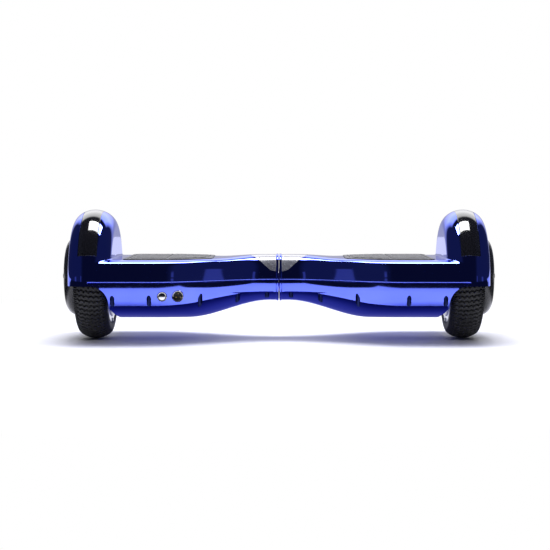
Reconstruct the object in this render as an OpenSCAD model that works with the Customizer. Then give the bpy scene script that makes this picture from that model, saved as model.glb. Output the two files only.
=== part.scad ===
// Two-wheeled self-balancing board: two hinged halves, each with a hub motor wheel.
// Millimetres. X runs along the board, Y across it (the socket side is -Y), Z is up.
// The origin is on the floor, midway between the wheels.

/* [Wheels] */
// Outside diameter of the tyre
tyre_d = 168; // [150:1:180]
// Width of the tyre
tyre_w = 44; // [38:1:46]
// Middle of the tyre, from the middle of the board
tyre_x = 247; // [245:1:249]
// Half of the overall length, to the end of the hub cap's nub
half_length = 292; // [288:1:296]

/* [Body] */
// Half depth of the body beside the wheels
side_depth = 92; // [85:0.5:94]
// Half depth of the waist where the halves meet
neck_depth = 30; // [27:0.5:34]
// How far the plane where the shells meet lies below the axle
body_drop = 3.5; // [3:0.5:4]
// Height of the waist's top over the plane where the shells meet
neck_top = 32.5; // [30:0.5:34]
// Height of the deck over that plane
deck_top = 29; // [28:0.5:30]
// Depth of the waist's underside below that plane
neck_belly = 29; // [27:0.5:31]
// Depth of the underside below that plane
belly = 51; // [48:0.5:53]
// Wall of the plastic shells
wall = 2.5; // [2:0.1:3.5]
// Gap between each half and the middle plane
half_gap = 0.5; // [0.3:0.1:1.5]

/* [Fender] */
// Outside radius of the fender about the middle of the body
fender_r = 93; // [93:0.5:98]
// Face of the fender towards the deck
fender_in = 219; // [217:0.5:220]
// Outer face of the fender
fender_out = 275; // [273:0.5:277]
// Width of the light strip over the fender
strip_w = 25; // [16:1:30]
// Angle of the light strip either side of the top
strip_reach = 68; // [50:1:75]

/* [Foot pads] */
// Thickness of a rubber foot pad
pad_t = 8; // [6:0.5:10]
// How far a foot pad sinks when stood on
pad_travel = 1.5; // [1:0.1:2]
// Inner end of the foot pad
pad_in = 88; // [84:1:96]
// Outer end of the foot pad
pad_out = 204; // [190:1:206]
// Half depth of the foot pad beside the wheel
pad_depth = 72; // [60:1:74]

/* [Controls] */
// Place of the power button along the board
button_x = -151; // [-160:1:-145]
// Place of the charging socket along the board
socket_x = -131; // [-138:1:-125]
// Height of the button and the socket
control_z = 62.5; // [60:0.5:65]
// Inside diameter of the charging socket
socket_bore = 12.4; // [11:0.1:13]
// How far the power button travels
button_travel = 1.5; // [1:0.1:2]

/* [Hidden] */
$fn = 64;
FINE = 128;
HULL_FN = 32;
axle_z = tyre_d / 2;
body_z = axle_z - body_drop;
tyre_r = tyre_d / 2;
EPS = 0.01;
FAR = 150;

// Colours
BLUE = [0.20, 0.26, 0.85];
DARK_BLUE = [0.10, 0.12, 0.45];
BLACK = [0.07, 0.07, 0.08];
RUBBER = [0.13, 0.13, 0.14];
PAD_GREY = [0.35, 0.35, 0.36];
ALUMINIUM = [0.75, 0.76, 0.78];
STEEL = [0.58, 0.60, 0.63];
COPPER = [0.72, 0.42, 0.20];
BRONZE = [0.70, 0.55, 0.28];
BOARD = [0.05, 0.32, 0.14];
LENS = [0.62, 0.64, 0.70];

// ---- The body's outline ----

// Where the waist starts to widen, and where it reaches full depth
FLARE_FROM = 10;
FLARE_TO = 165;
// Where the underside falls away from the waist
BELLY_FROM = 13;
BELLY_TO = 120;
// Where the top falls from the waist to the deck
DROP_FROM = 26;
DROP_TO = 82;
// Squareness of the sections, where 2 is an ellipse: the waist's top, the deck, and below
NECK_POWER = 3.2;
TOP_POWER = 10;
LOW_POWER = 3;
// Where the waist's top starts to turn square, and where it is as square as the deck
SQUARE_FROM = 20;
SQUARE_TO = 110;
// How much the upper flanks draw in over their height
TOP_DRAFT = 0.03;

// Eases from 0 to 1
function ease(t) = let (u = min(max(t, 0), 1)) u * u * (3 - 2 * u);
function between(x, from, to, a, b) = a + (b - a) * ease((x - from) / (to - from));
function depth_at(x) = between(x, FLARE_FROM, FLARE_TO, neck_depth, side_depth);
function top_at(x) = between(x, DROP_FROM, DROP_TO, neck_top, deck_top);
function belly_at(x) = between(x, BELLY_FROM, BELLY_TO, neck_belly, belly);
function top_power(x) = between(x, SQUARE_FROM, SQUARE_TO, NECK_POWER, TOP_POWER);

// One point of a rounded section: y and height at the angle a, 0 to 180
function rounded(a, depth, height, power, draft) =
    let (c = cos(a), s = sin(a), v = pow(abs(s), 2 / power))
    [sign(c) * depth * pow(abs(c), 2 / power) * (1 - draft * v), height * v];

// Ring of the upper or the lower half at x, thinned by t, with its flat where the halves meet
function top_ring(x, t, steps) = [for (i = [0:steps])
    let (p = rounded(180 * i / steps, depth_at(x) - t, top_at(x) - t,
                     top_power(x), TOP_DRAFT))
    [x, p[0], body_z + p[1]]];
function low_ring(x, t, steps) = [for (i = [0:steps])
    let (p = rounded(180 * i / steps, depth_at(x) - t, belly_at(x) - t, LOW_POWER, 0))
    [x, -p[0], body_z - p[1]]];

// Half depth of the lower half where it is the share v of its depth down
function low_depth(x, v) = depth_at(x) * pow(1 - pow(v, LOW_POWER), 1 / LOW_POWER);

// Stations along one half: close together over the curves
function stations(from, to) =
    [for (x = concat([from], [for (k = [12:8:148]) k], [166, to])) if (x <= to) x];

RING_STEPS = 18;

// Solid through a list of rings that all hold the same number of points
module loft(rings) {
    count = len(rings[0]);
    last = len(rings) - 1;
    points = [for (ring = rings) for (p = ring) p];
    sides = [for (k = [0:last - 1]) for (i = [0:count - 1])
        let (j = (i + 1) % count, a = k * count, b = a + count)
        for (face = [[a + i, b + i, a + j], [b + i, b + j, a + j]]) face];
    start = [[for (i = [0:count - 1]) i]];
    end = [[for (i = [count - 1:-1:0]) last * count + i]];
    polyhedron(points, concat(sides, start, end));
}

// A ring closed by two more points beyond the plane where the halves meet
function deepened(ring, dz) = concat(ring,
    [[ring[0][0], ring[len(ring) - 1][1], body_z + dz], [ring[0][0], ring[0][1], body_z + dz]]);

module left() { mirror([1, 0, 0]) children(); }
// A round bar or tube along X, about the axle unless z says otherwise
module rod(x0, x1, r, z = axle_z) {
    translate([x0, 0, z]) rotate([0, 90, 0]) cylinder(h = x1 - x0, r = r);
}
module tube(x0, x1, r, bore, z = axle_z) {
    difference() {
        rod(x0, x1, r, z);
        rod(x0 - 1, x1 + 1, bore, z);
    }
}

// A profile of [x, radius] points, turned about a line along X at height z
module turned(angle = 360, from = 0, z = axle_z) {
    translate([0, 0, z]) rotate([0, 90, 0]) rotate([0, 0, from])
        rotate_extrude(angle = angle, $fn = FINE) mirror([1, 0]) rotate([0, 0, 90]) children();
}

// ---- Shells ----

// Inner end of a shell and of the space in it
SHELL_FROM = half_gap;
NECK_WALL = 3;
NECK_HOLE_R = 18;
// Radii of the fender's inner and outer corners, and its flat crown between them
CORNER_IN = 24;
CORNER_OUT = 22;
CROWN_FROM = fender_in + CORNER_IN;
CROWN_TO = fender_out - CORNER_OUT;
// Innermost radius of the fender's outer wall
FENDER_LIP_R = 62;
// Innermost radius of the wall beside the wheel, and the hole in it around the axle
INNER_LIP_R = 10;
AXLE_HOLE_R = 16;
// How far the fender reaches below the shells' joint, outside the lower shell's ears
FENDER_DROP = 5;
EAR_OUT = 247;
EAR_DROP = 4.5;
SEAM = 0.15;
TYRE_ROOM = 3;

// Outline of the fender's outer side, drawn in by t
module fender_outline(t, lip) {
    intersection() {
        union() {
            translate([CROWN_FROM, fender_r - CORNER_IN]) circle(r = CORNER_IN - t);
            translate([CROWN_TO, fender_r - CORNER_OUT]) circle(r = CORNER_OUT - t);
            translate([CROWN_FROM, lip]) square([CROWN_TO - CROWN_FROM, fender_r - t - lip]);
            translate([fender_in + t, lip])
                square([CORNER_IN, fender_r - CORNER_IN - lip]);
            translate([CROWN_TO, lip])
                square([CORNER_OUT - t, fender_r - CORNER_OUT - lip]);
        }
        translate([fender_in, lip]) square([fender_out - fender_in, fender_r]);
    }
}

// Everything above the shells' joint, with its step down outside the ears
module above_seam() {
    translate([0, -FAR, body_z + SEAM]) cube([EAR_OUT + SEAM, 2 * FAR, FAR]);
    translate([EAR_OUT, -FAR, body_z - FENDER_DROP]) cube([FAR, 2 * FAR, FAR]);
}

module fender() {
    intersection() {
        difference() {
            turned(z = body_z) fender_outline(0, INNER_LIP_R);
            turned(z = body_z) fender_outline(wall, INNER_LIP_R - 2);
            rod(fender_in + wall, fender_out + 1, FENDER_LIP_R, body_z);
        }
        above_seam();
    }
}

// Space that the tyre turns in, out to x
module wheel_room(x) { rod(fender_in + wall, x, tyre_r + TYRE_ROOM); }

module strip_profile(t0, t1, w) {
    intersection() {
        difference() {
            fender_outline(t0, FENDER_LIP_R);
            fender_outline(t1, FENDER_LIP_R - 1);
        }
        translate([(CROWN_FROM + CROWN_TO) / 2 - w / 2, FENDER_LIP_R]) square([w, fender_r]);
    }
}

STRIP_T = 1.2;
STRIP_GAP = 0.1;

module fender_strip(grow = 0) {
    turned(2 * (strip_reach + grow), 180 - strip_reach - grow, body_z)
        strip_profile(-grow, STRIP_T + grow, strip_w + 2 * grow);
}

// Where the shells are screwed together along one side: the place along the board, and the
// share of the underside's depth at which the flank is as wide as the screws stand apart
SCREWS = [[16, 0.75], [55, 0.72], [103, 0.56], [168, 0.52], [215.5, 0.52]];
SCREW_R = 1.5;
SCREW_L = 16;
SCREW_HEAD_R = 2.6;
SCREW_HEAD_T = 2.4;
SCREW_HEAD_Z = body_z - 8;
WELL_R = 3;
POST_R = 5.2;
module at_screws() {
    for (s = SCREWS) for (f = [-1, 1])
        translate([s[0], f * low_depth(s[0], s[1]), 0]) children();
}

// Outline of the foot pad in plan, grown by g
PAD_MARGIN = 17;
PAD_ROUND = 9;
PAD_STATIONS = [0, 0.12, 0.25, 0.4, 0.6, 1];
module pad_outline(g = 0) {
    spots = [for (s = PAD_STATIONS) pad_in + s * (pad_out - pad_in)];
    half = [for (x = spots) min(pad_depth, depth_at(x) - PAD_MARGIN)];
    count = len(spots) - 1;
    offset(r = PAD_ROUND + g, $fn = HULL_FN) offset(delta = -PAD_ROUND)
        polygon(concat([for (i = [0:count]) [spots[i], half[i]]],
                       [for (i = [count:-1:0]) [spots[i], -half[i]]]));
}

deck_z = body_z + deck_top;
PAD_PROUD = 1.6;
pad_top_z = deck_z + PAD_PROUD;
pad_low_z = pad_top_z - pad_t;
TRAY_FLOOR = 2;
PAD_ROOM = 0.5;
tray_z = pad_low_z - pad_travel - PAD_ROOM;
TRAY_MARGIN = 3;
TRAY_H = deck_z - wall / 2 - tray_z + TRAY_FLOOR;
ACTUATORS_X = [118, 178];
ACTUATOR_SIZE = [10, 60];

// Outline of the indicator lens in plan: a bullet with its nose away from the middle
LENS_FROM = 4;
LENS_TO = 41;
LENS_HALF = 29.3;
LENS_T = 2;
LENS_STEPS = 14;
LENS_DROP = 9;
module lens_outline(g = 0) {
    reach = LENS_TO + g;
    edge = [for (i = [0:LENS_STEPS]) let (x = reach * sin(90 * i / LENS_STEPS))
        [x, (LENS_HALF + g) * pow(max(1 - pow(x / reach, 3), 0), 0.4)]];
    intersection() {
        polygon(concat(edge, [for (i = [LENS_STEPS - 1:-1:0]) [edge[i][0], -edge[i][1]]]));
        translate([LENS_FROM - g, -LENS_TO]) square([LENS_TO, 2 * LENS_TO]);
    }
}

module upper_outside(x1 = EAR_OUT) {
    loft([for (x = stations(SHELL_FROM, x1)) top_ring(x, 0, RING_STEPS)]);
}

module upper_inside(t = wall, x0 = SHELL_FROM + NECK_WALL, x1 = fender_in - wall) {
    loft([for (x = stations(x0, x1)) deepened(top_ring(x, t, RING_STEPS), -1)]);
}

module upper_shell() {
    color(BLUE) {
        difference() {
            union() {
                difference() {
                    upper_outside();
                    wheel_room(EAR_OUT + 1);
                }
                fender();
                translate([0, 0, tray_z - TRAY_FLOOR])
                    linear_extrude(TRAY_H) pad_outline(TRAY_MARGIN);
            }
            difference() {
                upper_inside();
                translate([0, 0, tray_z - TRAY_FLOOR])
                    linear_extrude(FAR) pad_outline(TRAY_MARGIN);
                at_screws() translate([0, 0, body_z]) cylinder(h = FAR, r = POST_R - 1);
            }
            translate([0, 0, tray_z]) linear_extrude(FAR) pad_outline(PAD_ROOM);
            for (x = ACTUATORS_X)
                translate([x - ACTUATOR_SIZE[0] / 2 - 1, -ACTUATOR_SIZE[1] / 2 - 1, body_z])
                    cube([ACTUATOR_SIZE[0] + 2, ACTUATOR_SIZE[1] + 2, FAR]);
            translate([0, 0, body_z + LENS_DROP]) linear_extrude(FAR) lens_outline(STRIP_GAP);
            fender_strip(STRIP_GAP);
            rod(0, NECK_WALL + 2, NECK_HOLE_R, body_z);
            rod(fender_in - 2 * wall, fender_in + 2 * wall, AXLE_HOLE_R);
            at_screws() translate([0, 0, body_z - 1])
                cylinder(h = SCREW_L - SCREW_HEAD_T, r = SCREW_R);
        }
    }
}

// The lower shell ends in a notch around the tyre
NOTCH_X = 220.5;
NOTCH_R = 24;
// The cut across the underside's corner, from this height on the notch to the underside
BEVEL_Z = 46;
BEVEL_W = 13;
module notch(g = 0) {
    top = body_z - EAR_DROP - g;
    low = body_z - belly;
    x = NOTCH_X - g;
    translate([0, FAR, 0]) rotate([90, 0, 0]) linear_extrude(2 * FAR) {
        translate([x + NOTCH_R, top - NOTCH_R]) circle(r = NOTCH_R);
        translate([x + NOTCH_R, 0]) square([FAR, top]);
        translate([x, 0]) square([FAR, top - NOTCH_R]);
        polygon([[x, BEVEL_Z], [x + EPS, 0], [x - BEVEL_W, 0], [x - BEVEL_W, low]]);
    }
}

module lower_outside() {
    loft([for (x = stations(SHELL_FROM, EAR_OUT)) low_ring(x, 0, RING_STEPS)]);
}

module lower_inside(t = wall, x1 = fender_in - wall) {
    loft([for (x = stations(SHELL_FROM + NECK_WALL, x1))
        deepened(low_ring(x, t, RING_STEPS), 1)]);
}

HEADLAMP_X = 135.5;
HEADLAMP_Z = 63;
HEADLAMP_L = 50;
HEADLAMP_H = 14;
HEADLAMP_T = 6;
module headlamp_prism(g, y0, y1) {
    translate([HEADLAMP_X, y1, HEADLAMP_Z]) rotate([90, 0, 0]) linear_extrude(y1 - y0) {
        for (s = [-1, 1]) translate([s * (HEADLAMP_L - HEADLAMP_H) / 2, 0])
            circle(r = HEADLAMP_H / 2 + g);
        square([HEADLAMP_L - HEADLAMP_H, HEADLAMP_H + 2 * g], center = true);
    }
}

// Each control's face, and the seat behind it that its nut pulls against
CONTROL_SEAT = 15;
CONTROL_SEAT_R = 10.4;
RING_PROUD = 1.2;
RING_T = 4;
control_v = (body_z - control_z) / belly;
switch_y = -low_depth(-button_x, control_v) - RING_PROUD;
socket_y = -low_depth(-socket_x, control_v) - RING_PROUD;
BUTTON_RING_R = 6.4;
SOCKET_RING_R = 7.6;

module lower_shell(has_controls = false) {
    color(BLUE) {
        difference() {
            lower_outside();
            difference() {
                lower_inside();
                notch(wall);
                at_screws() cylinder(h = FAR, r = POST_R);
                if (has_controls) {
                    across(-button_x, control_z, -FAR, switch_y + CONTROL_SEAT, CONTROL_SEAT_R);
                    across(-socket_x, control_z, -FAR, socket_y + CONTROL_SEAT, CONTROL_SEAT_R);
                }
            }
            notch();
            wheel_room(EAR_OUT + 2);
            at_screws() {
                cylinder(h = SCREW_HEAD_Z, r = WELL_R);
                cylinder(h = FAR, r = SCREW_R + 0.2);
            }
            rod(0, NECK_WALL + 2, NECK_HOLE_R, body_z);
            rod(fender_in - 2 * wall, fender_in + 2 * wall, AXLE_HOLE_R);
            headlamp_prism(STRIP_GAP, 60, 100);
            translate([0, -FAR, body_z - SEAM]) cube([2 * FAR, 2 * FAR, FAR]);
            if (has_controls) {
                across(-button_x, control_z, -FAR, switch_y + RING_T, BUTTON_RING_R + 0.2);
                across(-button_x, control_z, -FAR, -60, thread_in_switch + 0.1);
                across(-socket_x, control_z, -FAR, socket_y + RING_T, SOCKET_RING_R + 0.2);
                across(-socket_x, control_z, -FAR, -60, thread_in_socket + 0.1);
            }
        }
    }
}

// A round bar along Y
module across(x, z, y0, y1, r) {
    translate([x, y1, z]) rotate([90, 0, 0]) cylinder(h = y1 - y0, r = r);
}

module shell_screws() {
    color(STEEL) at_screws() {
        translate([0, 0, SCREW_HEAD_Z - SCREW_HEAD_T]) cylinder(h = SCREW_HEAD_T, r = SCREW_HEAD_R);
        translate([0, 0, SCREW_HEAD_Z - EPS]) cylinder(h = SCREW_L, r = SCREW_R);
    }
}

module headlamp() {
    color(LENS) difference() {
        intersection() {
            headlamp_prism(0, 60, 100);
            lower_outside();
        }
        lower_inside(HEADLAMP_T, HEADLAMP_X + HEADLAMP_L);
    }
}

module indicator_lens() {
    color(LENS) difference() {
        intersection() {
            upper_outside(LENS_TO + 15);
            translate([0, 0, body_z + LENS_DROP]) linear_extrude(FAR) lens_outline();
        }
        upper_inside(LENS_T, SHELL_FROM, LENS_TO + 25);
    }
}

// ---- Frame and pivot ----

CHASSIS_Z = axle_z + 8;
CHASSIS_T = 3;
CHASSIS_MARGIN = 8;
BOSS_R = 16.5;
BOSS_TO = 64;
BOSS_FROM = 1.5;
PIVOT_R = 11;
PIVOT_BORE = 8;
BUSH_R = 13.5;
BUSH_L = 22;
PIVOT_TO = BOSS_TO + 0.2;
AXLE_R = 8.5;
AXLE_FROM = 184;
SADDLE_FROM = 186;
SADDLE_TO = 213;
SADDLE_DEPTH = 26;
CLAMP_T = 12;
BOLT_R = 3;
BOLT_PLAY = 0.1;
BOLTS_X = [192, 207];
BOLT_Y = 18;

module at_bolts() {
    for (x = BOLTS_X) for (f = [-1, 1]) translate([x, f * BOLT_Y, 0]) children();
}

TRAY_POSTS_X = [96, 198];
POSTS_Y = 40;
LEGS_X = [98, 176];
LEGS_Y = 33;
RAIL_Y = 22;
RAIL_T = 4;
RAIL_DROP = 6;
CHASSIS_SPOTS = [8, 30, 60, 84, 108, 132, 160, 212];
module chassis(bore, bush_r, leg_z) {
    half = [for (x = CHASSIS_SPOTS) depth_at(x) - CHASSIS_MARGIN];
    count = len(CHASSIS_SPOTS) - 1;
    color(ALUMINIUM) difference() {
        union() {
            translate([0, 0, CHASSIS_Z]) linear_extrude(CHASSIS_T)
                polygon(concat([for (i = [0:count]) [CHASSIS_SPOTS[i], half[i]]],
                    [for (i = [count:-1:0]) [CHASSIS_SPOTS[i], -half[i]]]));
            rod(BOSS_FROM, BOSS_TO, BOSS_R, body_z);
            translate([SADDLE_FROM, -SADDLE_DEPTH, axle_z + 0.2])
                cube([SADDLE_TO - SADDLE_FROM, 2 * SADDLE_DEPTH, CHASSIS_Z - axle_z + 1]);
            for (f = [-1, 1]) translate([BOSS_TO, f * RAIL_Y - RAIL_T / 2, axle_z - RAIL_DROP])
                cube([SADDLE_FROM - BOSS_TO - 0.5, RAIL_T, CHASSIS_Z - axle_z + RAIL_DROP + 1]);
            for (x = TRAY_POSTS_X) for (f = [-1, 1])
                translate([x, f * POSTS_Y, CHASSIS_Z])
                    cylinder(h = tray_z - TRAY_FLOOR - CHASSIS_Z, r = 4);
            for (x = LEGS_X) for (f = [-1, 1])
                translate([x, f * LEGS_Y, leg_z]) cylinder(h = CHASSIS_Z - leg_z + 1, r = 3);
        }
        rod(0, BOSS_TO + 1, bore, body_z);
        rod(BOSS_TO, BOSS_TO + 8, BOSS_R, body_z);
        if (bush_r > bore) {
            rod(BOSS_FROM - 1, BOSS_FROM + BUSH_L, bush_r, body_z);
            rod(BOSS_TO - BUSH_L, BOSS_TO + 1, bush_r, body_z);
        }
        rod(SADDLE_FROM - 6, SADDLE_TO + 2, AXLE_R);
        at_screws() translate([0, 0, axle_z - 10]) cylinder(h = 40, r = POST_R + 1);
        at_bolts() translate([0, 0, axle_z - 1]) cylinder(h = 9, r = BOLT_R + BOLT_PLAY);
        if (bush_r <= bore)
            translate([PIN_X, 0, axle_z - 30]) cylinder(h = 60, r = PIN_R);
    }
}

PIN_X = 46;
PIN_R = 3;
module pivot_pin() {
    color(STEEL) translate([-PIN_X, 0, body_z - BOSS_R]) cylinder(h = 2 * BOSS_R, r = PIN_R);
}

RING_GROOVE = 1.3;
module pivot_tube() {
    color(STEEL) difference() {
        rod(-BOSS_TO, PIVOT_TO + 3, PIVOT_R, body_z);
        rod(-BOSS_TO - 1, PIVOT_TO + 4, PIVOT_BORE, body_z);
        tube(PIVOT_TO, PIVOT_TO + RING_GROOVE, PIVOT_R + 1, PIVOT_R - 1, body_z);
        translate([-PIN_X, 0, body_z - 30]) cylinder(h = 60, r = PIN_R);
    }
}

BUSH_PLAY = 0.03;
// The inner bushing's flange fills the gap between the halves
FLANGE_R = 27;
FLANGE_PLAY = 0.2;
module pivot_bushings() {
    flange = half_gap - FLANGE_PLAY;
    color(BRONZE) {
        tube(-flange, BOSS_FROM + BUSH_L, BUSH_R, PIVOT_R + BUSH_PLAY, body_z);
        tube(-flange, flange, FLANGE_R, PIVOT_R + BUSH_PLAY, body_z);
        tube(BOSS_TO - BUSH_L, BOSS_TO, BUSH_R, PIVOT_R + BUSH_PLAY, body_z);
    }
}

module pivot_circlip() {
    color(STEEL) difference() {
        tube(PIVOT_TO + 0.1, PIVOT_TO + RING_GROOVE - 0.1, BUSH_R, PIVOT_R - 1, body_z);
        translate([PIVOT_TO - 1, -3, body_z - 20]) cube([4, 6, 20]);
    }
}

module axle_clamp() {
    color(ALUMINIUM) difference() {
        translate([SADDLE_FROM, -SADDLE_DEPTH, axle_z - CLAMP_T])
            cube([SADDLE_TO - SADDLE_FROM, 2 * SADDLE_DEPTH, CLAMP_T - 0.2]);
        rod(SADDLE_FROM - 2, SADDLE_TO + 2, AXLE_R);
        at_bolts() translate([0, 0, axle_z - 30]) cylinder(h = 60, r = BOLT_R + BOLT_PLAY);
    }
}

BOLT_HEAD_R = 5;
BOLT_HEAD_T = 5;
module clamp_bolts() {
    color(STEEL) at_bolts() difference() {
        union() {
            translate([0, 0, axle_z - CLAMP_T - BOLT_HEAD_T]) cylinder(h = BOLT_HEAD_T, r = BOLT_HEAD_R);
            translate([0, 0, axle_z - CLAMP_T - EPS]) cylinder(h = CLAMP_T + 7, r = BOLT_R);
        }
        translate([0, 0, axle_z - CLAMP_T - BOLT_HEAD_T - 1]) cylinder(h = 3.5, r = 2.5, $fn = 6);
    }
}

// ---- Hub motor wheel ----

tyre_in = tyre_x - tyre_w / 2;
BEAD_R = 62;
// The tread's crown and the shoulders it runs into
CROWN_R = 31;
SHOULDER_R = 10;
SIDEWALL_R = 4;
GROOVE = 1.6;
GROOVE_X = 6;
shoulder_x = tyre_w / 2 - SHOULDER_R;
shoulder_up = sqrt(pow(CROWN_R - SHOULDER_R, 2) - pow(shoulder_x, 2));
module tyre_profile() {
    shoulder_r = tyre_r - CROWN_R + shoulder_up;
    waist_r = BEAD_R + SIDEWALL_R;
    intersection() {
        union() {
            translate([tyre_x, tyre_r - CROWN_R]) intersection() {
                circle(r = CROWN_R);
                polygon([[0, 0], [2 * shoulder_x, 2 * shoulder_up],
                         [-2 * shoulder_x, 2 * shoulder_up]]);
            }
            for (s = [-1, 1]) translate([tyre_x + s * shoulder_x, shoulder_r])
                circle(r = SHOULDER_R);
        }
        translate([tyre_in, waist_r]) square([tyre_w, tyre_r]);
    }
    for (s = [-1, 1]) translate([tyre_x + s * (tyre_w / 2 - SIDEWALL_R), waist_r])
        circle(r = SIDEWALL_R);
    translate([tyre_in, waist_r]) square([tyre_w, shoulder_r - waist_r]);
    translate([tyre_x - shoulder_x, BEAD_R])
        square([2 * shoulder_x, shoulder_r - BEAD_R + 1]);
    translate([tyre_in + SIDEWALL_R, BEAD_R])
        square([tyre_w - 2 * SIDEWALL_R, SIDEWALL_R]);
}
module tyre() {
    color(RUBBER) turned() difference() {
        tyre_profile();
        for (s = [-1, 1]) translate([tyre_x + s * GROOVE_X - GROOVE / 2, tyre_r - 2 * GROOVE])
            square([GROOVE, 4 * GROOVE]);
    }
}

RIM_T = 5;
RIM_R = BEAD_R - 0.1;
RIM_IN = tyre_in + 1.2;
RIM_OUT = tyre_x + tyre_w / 2 - 1.2;
COVER_T = 3;
SEAT_T = 3;
AXLE_END_R = 6;
AXLE_PLAY = 0.02;
IN_BEARING = [AXLE_R + AXLE_PLAY, 18, 9];
OUT_BEARING = [AXLE_END_R + AXLE_PLAY, 16, 9];
OUT_BEARING_X = RIM_OUT - 4;
IN_BEARING_X = RIM_IN + 2;
module rotor() {
    color(ALUMINIUM) difference() {
        union() {
            tube(RIM_IN + COVER_T, RIM_OUT, RIM_R, BEAD_R - RIM_T);
            rod(RIM_OUT - COVER_T, RIM_OUT, BEAD_R - RIM_T + 1);
            rod(OUT_BEARING_X - SEAT_T, RIM_OUT + 3, OUT_BEARING[1] + SEAT_T);
        }
        rod(OUT_BEARING_X, RIM_OUT + 8, OUT_BEARING[1]);
        rod(OUT_BEARING_X - 8, RIM_OUT + 8, OUT_BEARING[0] + 4);
    }
}

MAGNETS = 30;
MAGNET_T = 3;
MAGNET_FROM = RIM_IN + 8;
MAGNET_L = 26;
module magnets() {
    color(STEEL) for (k = [0:MAGNETS - 1])
        translate([MAGNET_FROM, 0, axle_z]) rotate([k * 360 / MAGNETS, 0, 0])
            translate([0, -5, BEAD_R - RIM_T - MAGNET_T - 0.3]) cube([MAGNET_L, 10, MAGNET_T]);
}

COVER_SCREWS = 6;
COVER_SCREW_RING = BEAD_R - RIM_T / 2 - 0.2;
module at_cover_screws() {
    for (k = [0:COVER_SCREWS - 1])
        translate([0, 0, axle_z]) rotate([k * 360 / COVER_SCREWS, 0, 0])
            translate([RIM_IN, 0, COVER_SCREW_RING]) rotate([0, 90, 0]) children();
}

module motor_cover() {
    color(ALUMINIUM) difference() {
        union() {
            rod(RIM_IN, RIM_IN + COVER_T - 0.02, RIM_R);
            rod(RIM_IN - 1.5, RIM_IN + COVER_T - 1, BEAD_R - 8);
            rod(RIM_IN - 1.5, IN_BEARING_X + IN_BEARING[2], IN_BEARING[1] + SEAT_T);
        }
        rod(IN_BEARING_X, IN_BEARING_X + 20, IN_BEARING[1]);
        rod(RIM_IN - 10, RIM_IN + 30, IN_BEARING[0] + 4);
        at_cover_screws() translate([0, 0, -1]) cylinder(h = 6, r = 1.2, $fn = 24);
    }
}

module cover_screws() {
    color(STEEL) at_cover_screws() {
        translate([0, 0, -1.6]) cylinder(h = 1.6, r = 2.2, $fn = 24);
        translate([0, 0, -EPS]) cylinder(h = COVER_T - 0.1, r = 1.2, $fn = 24);
    }
}

module bearing(x, size) {
    color(STEEL) {
        tube(x, x + size[2], size[1], size[1] - 2.5);
        tube(x, x + size[2], size[0] + 2.5, size[0]);
        tube(x + 1.5, x + size[2] - 1.5, size[1] - 2.5, size[0] + 2.5);
    }
}

STATOR_FROM = IN_BEARING_X + 11;
STATOR_L = 14;
TEETH = 27;
TOOTH_R = 53.3;
module stator() {
    color(COPPER) translate([STATOR_FROM, 0, axle_z]) rotate([90, 0, 90])
        linear_extrude(STATOR_L) difference() {
        union() {
            circle(r = 38);
            for (k = [0:TEETH - 1]) rotate(k * 360 / TEETH) {
                translate([36, -3.4]) square([12, 6.8]);
                translate([36, -1.6]) square([TOOTH_R - 37, 3.2]);
                translate([TOOTH_R - 2.5, -5]) square([2, 10]);
            }
        }
        circle(r = AXLE_R);
        for (k = [0:5]) rotate(k * 60) translate([23, 0]) circle(r = 6);
    }
}

AXLE_TO = OUT_BEARING_X + OUT_BEARING[2] + 1;
module motor_axle() {
    color(STEEL) difference() {
        union() {
            rod(AXLE_FROM, OUT_BEARING_X - 1, AXLE_R);
            rod(OUT_BEARING_X - 1 - EPS, AXLE_TO, AXLE_END_R);
        }
        rod(AXLE_FROM - 1, OUT_BEARING_X - 12, 3.5);
    }
}

CAP_FROM = RIM_OUT + 0.1;
CAP_FACE = 285.5;
CAP_R = 53;
CAP_ROUND = 14;
CAP_T = 2.2;
NUB_R = 5;
module hub_cap() {
    color(BLACK) difference() {
        turned() {
            translate([CAP_FROM, 0]) square([CAP_FACE - CAP_FROM, CAP_R - CAP_ROUND]);
            translate([CAP_FROM, 0]) square([CAP_FACE - CAP_ROUND - CAP_FROM, CAP_R]);
            intersection() {
                translate([CAP_FACE - CAP_ROUND, CAP_R - CAP_ROUND]) circle(r = CAP_ROUND);
                translate([CAP_FROM, 0]) square([40, CAP_R]);
            }
            translate([CAP_FACE - 1, 0]) square([half_length - CAP_FACE - 1, NUB_R]);
            translate([CAP_FACE, 0]) square([half_length - CAP_FACE, NUB_R - 1.5]);
        }
        rod(CAP_FROM - 1, CAP_FACE - CAP_ROUND, CAP_R - CAP_T);
        rod(CAP_FROM - 1, CAP_FACE - CAP_T, CAP_R - CAP_ROUND);
    }
}

// ---- Foot pads and sensors ----

PAD_BEVEL = 3;
PAD_HOLLOW = 4;
PAD_RIM = 5;
RIB_STEP = 9;
module footpad() {
    color(PAD_GREY) difference() {
        union() {
            translate([0, 0, pad_low_z]) linear_extrude(pad_t - PAD_BEVEL) pad_outline();
            translate([0, 0, pad_low_z + pad_t - PAD_BEVEL - EPS])
                linear_extrude(PAD_BEVEL / 2) pad_outline(-1.2);
            translate([0, 0, pad_low_z + pad_t - PAD_BEVEL / 2 - 2 * EPS])
                linear_extrude(PAD_BEVEL / 2 + 2 * EPS) pad_outline(-3.2);
        }
        translate([0, 0, pad_low_z - 1]) linear_extrude(1 + PAD_HOLLOW) difference() {
            pad_outline(-PAD_RIM);
            for (x = ACTUATORS_X) translate([x - ACTUATOR_SIZE[0] / 2 - 2, -ACTUATOR_SIZE[1] / 2 - 2])
                square([ACTUATOR_SIZE[0] + 4, ACTUATOR_SIZE[1] + 4]);
        }
        for (x = [pad_in + 14:RIB_STEP:pad_out - 12]) for (f = [-1, 1])
            translate([x, f * 28 - 20, pad_top_z - 1]) cube([2, 40, 2]);
    }
}

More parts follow.
